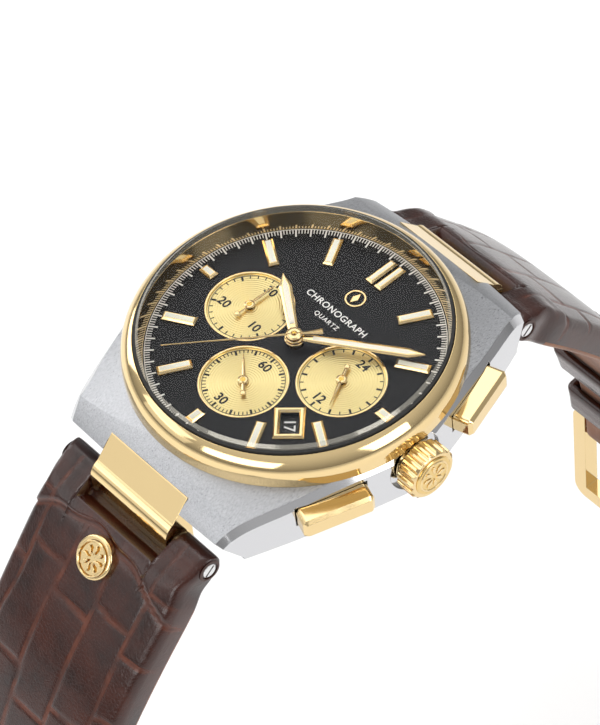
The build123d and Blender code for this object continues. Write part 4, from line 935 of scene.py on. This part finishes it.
def screw_head(name, side, sign):
    """Slotted end of a strap bar in its leather roll: a dark rim, a chamfered head and a slot."""
    face = sign * (strap_width / 2 + 0.03)
    head_radius, slot_half, slot_depth, proud, arc_steps = 0.8, 0.14, 0.2, 0.03, 14
    points, faces, chosen = [], [], []

    def spot(y, z, out):
        return (face + sign * out, side * bar_reach + y, bar_height + z)

    profile = [(1.45, 0.0), (1.3, 0.05), (1.12, 0.05), (1.1, -0.25), (0.98, -0.25), (0.9, -0.02),
               (head_radius, proud)]
    steps, count = 48, len(profile)
    for step in range(steps):
        turn = 2 * math.pi * step / steps
        points += [spot(r * math.cos(turn), r * math.sin(turn), out) for r, out in profile]
    for step in range(steps):
        here, there = step * count, (step + 1) % steps * count
        for i in range(count - 1):
            quad = [here + i, there + i, there + i + 1, here + i + 1]
            faces.append(quad if sign > 0 else quad[::-1])
            chosen.append(0 if i < 4 else 1)
    # head halves on each side of the slot, with the slot's walls
    tilt, slot_end = math.radians(38), math.asin(slot_half / head_radius)
    for half in (1, -1):
        start = len(points)
        arc = [slot_end + (math.pi - 2 * slot_end) * i / arc_steps for i in range(arc_steps + 1)]
        ring = [(head_radius * math.cos(t), half * head_radius * math.sin(t)) for t in arc]
        placed = [(place, proud) for place in ring] + [(ring[0], -slot_depth), (ring[-1], -slot_depth)]
        for (u, v), out in placed:
            points.append(spot(u * math.cos(tilt) - v * math.sin(tilt),
                               u * math.sin(tilt) + v * math.cos(tilt), out))
        cap = list(range(start, start + arc_steps + 1))
        faces.append(cap if sign * half > 0 else cap[::-1])
        faces.append([start + arc_steps, start + arc_steps + 2, start + arc_steps + 1, start])
        chosen += [1, 1]
    piece(name, points, faces, "case", edge_wax, polished_steel, smooth_faces=False, face_material=chosen)


for side, hour in ((1, "12"), (-1, "6")):
    for sign, way in ((1, "crown_side"), (-1, "far_side")):
        screw_head(f"bar_screw_{hour}_{way}", side, sign)


def rosette(name, body, spot, radius, height, petals):
    """A plain raised motif for a cap: a bead ring around a fluted rosette."""
    points, faces = [], []

    def prism(corners, low, high):
        start, count = len(points), len(corners)
        points.extend(spot(u, v, low) for u, v in corners)
        points.extend(spot(u, v, high) for u, v in corners)
        faces.append([start + count + i for i in range(count)])
        faces.extend([start + i, start + (i + 1) % count, start + count + (i + 1) % count, start + count + i]
                     for i in range(count))

    for petal in range(petals):
        turn = 2 * math.pi * petal / petals
        c, s = math.cos(turn), math.sin(turn)
        leaf = [(0.22, -0.03), (0.5, -0.11), (0.68, -0.05), (0.68, 0.05), (0.5, 0.11), (0.22, 0.03)]
        prism([(radius * (u * c - v * s), radius * (u * s + v * c)) for u, v in leaf], 0.0, height)
    steps = 72
    start, inner, outer, slope = len(points), 0.80, 0.92, 0.03
    for step in range(steps):
        turn = 2 * math.pi * step / steps
        for r, h in ((inner, 0.0), (inner + slope, height), (outer - slope, height), (outer, 0.0)):
            points.append(spot(radius * r * math.cos(turn), radius * r * math.sin(turn), h))
    for step in range(steps):
        here, there = start + 4 * step, start + 4 * ((step + 1) % steps)
        faces.extend([here + i, there + i, there + i + 1, here + i + 1] for i in range(3))
    piece(name, points, faces, body, gold, smooth_faces=False)


sunk = 0.001                 # motifs stand this far in their seat


def on_stud(u, v, height):
    return over_strap(-1, stud_station + v, u, pad_top + 0.5 + height - sunk)


def on_cap(u, v, height):
    return (crown_tip + height - sunk, u, crown_axis + v)


rosette("stud_rosette", "strap_6", on_stud, 2.35, 0.12, 8)
rosette("crown_rosette", "crown", on_cap, 2.3, 0.10, 8)

# ------------------------------------------------------------------ studio

floor_z = cad_box[0].z / MM - 0.5
floor_size = 5000.0          # half its width
floor_material, floor_tree, floor_shader = surface("matt_white_paper", Base_Color=linear("#FBFBFB"), IOR=1.45)
wear(floor_tree, floor_shader, 0.7, 0.85, 40.0)
floor_mesh = bpy.data.meshes.new("paper_floor")
floor_mesh.from_pydata([(x * floor_size * MM, y * floor_size * MM, floor_z * MM)
                        for x, y in ((-1, -1), (1, -1), (1, 1), (-1, 1))], [], [(0, 1, 2, 3)])
floor_mesh.materials.append(floor_material)
floor = bpy.data.objects.new("paper_floor", floor_mesh)
bpy.context.scene.collection.objects.link(floor)


watch_middle = Vector((0.0, 0.0, 5.0))


def softbox(name, place, size, power):
    """A rectangular light aimed at the watch; place and size in mm."""
    lamp = bpy.data.lights.new(name, "AREA")
    lamp.shape, lamp.size, lamp.size_y = "RECTANGLE", size[0] * MM, size[1] * MM
    lamp.energy = power
    stand = bpy.data.objects.new(name, lamp)
    bpy.context.scene.collection.objects.link(stand)
    stand.location = Vector(place) * MM
    stand.rotation_euler = (watch_middle - Vector(place)).to_track_quat("-Z", "Y").to_euler()


softbox("overhead_softbox", (-250, 250, 620), (520, 520), 1.1)
softbox("lug_softbox", (-330, -110, 540), (430, 430), 0.4)
softbox("lug_face_softbox", (-366, -564, 205), (400, 260), 0.18)
softbox("nose_softbox", (-430, -520, 430), (420, 300), 0.5)
softbox("front_softbox", (150, -620, 330), (520, 300), 1.5)
softbox("crown_side_softbox", (620, 120, 300), (300, 420), 1.4)
softbox("far_side_softbox", (-600, -100, 260), (260, 420), 0.9)

world = bpy.data.worlds.new("studio_room")
world.use_nodes = True
world.node_tree.nodes.clear()
room = world.node_tree
direction = add(room, "ShaderNodeTexCoord").outputs["Generated"]
sky = add(room, "ShaderNodeSeparateXYZ", {"Vector": direction})
walls = add(room, "ShaderNodeValToRGB", {"Fac": number(room, "MULTIPLY_ADD", sky.outputs["Z"], 0.5, 0.5)})
walls.color_ramp.elements[0].position, walls.color_ramp.elements[0].color = 0.5, linear("#8C8C8C")
walls.color_ramp.elements[1].position, walls.color_ramp.elements[1].color = 0.95, linear("#E2E2E2")
backdrop = add(room, "ShaderNodeBackground", {"Color": walls.outputs[0], "Strength": 1.0})
add(room, "ShaderNodeOutputWorld", {"Surface": backdrop.outputs[0]})
bpy.context.scene.world = world
bpy.context.scene.view_settings.view_transform = "Standard"

# ------------------------------------------------------------------ camera

camera_data = bpy.data.cameras.new("product_camera")
camera_data.sensor_fit, camera_data.sensor_width, camera_data.lens = "HORIZONTAL", 36.0, 226.5
camera_data.clip_start, camera_data.clip_end = 0.05, 5.0
camera = bpy.data.objects.new("product_camera", camera_data)
bpy.context.scene.collection.objects.link(camera)
toward = Vector((0.515, -0.380, 0.769)).normalized()
right = Vector((0.664, 0.744, -0.077))
right = (right - toward * right.dot(toward)).normalized()
upward = toward.cross(right)
centre = Vector((0.0, 0.0, dial_top))
eye = centre + right * 0.537 + upward * -2.172 + toward * 430.2
camera.matrix_world = Matrix.Translation(eye * MM) @ Matrix((right, upward, toward)).transposed().to_4x4()
bpy.context.scene.camera = camera
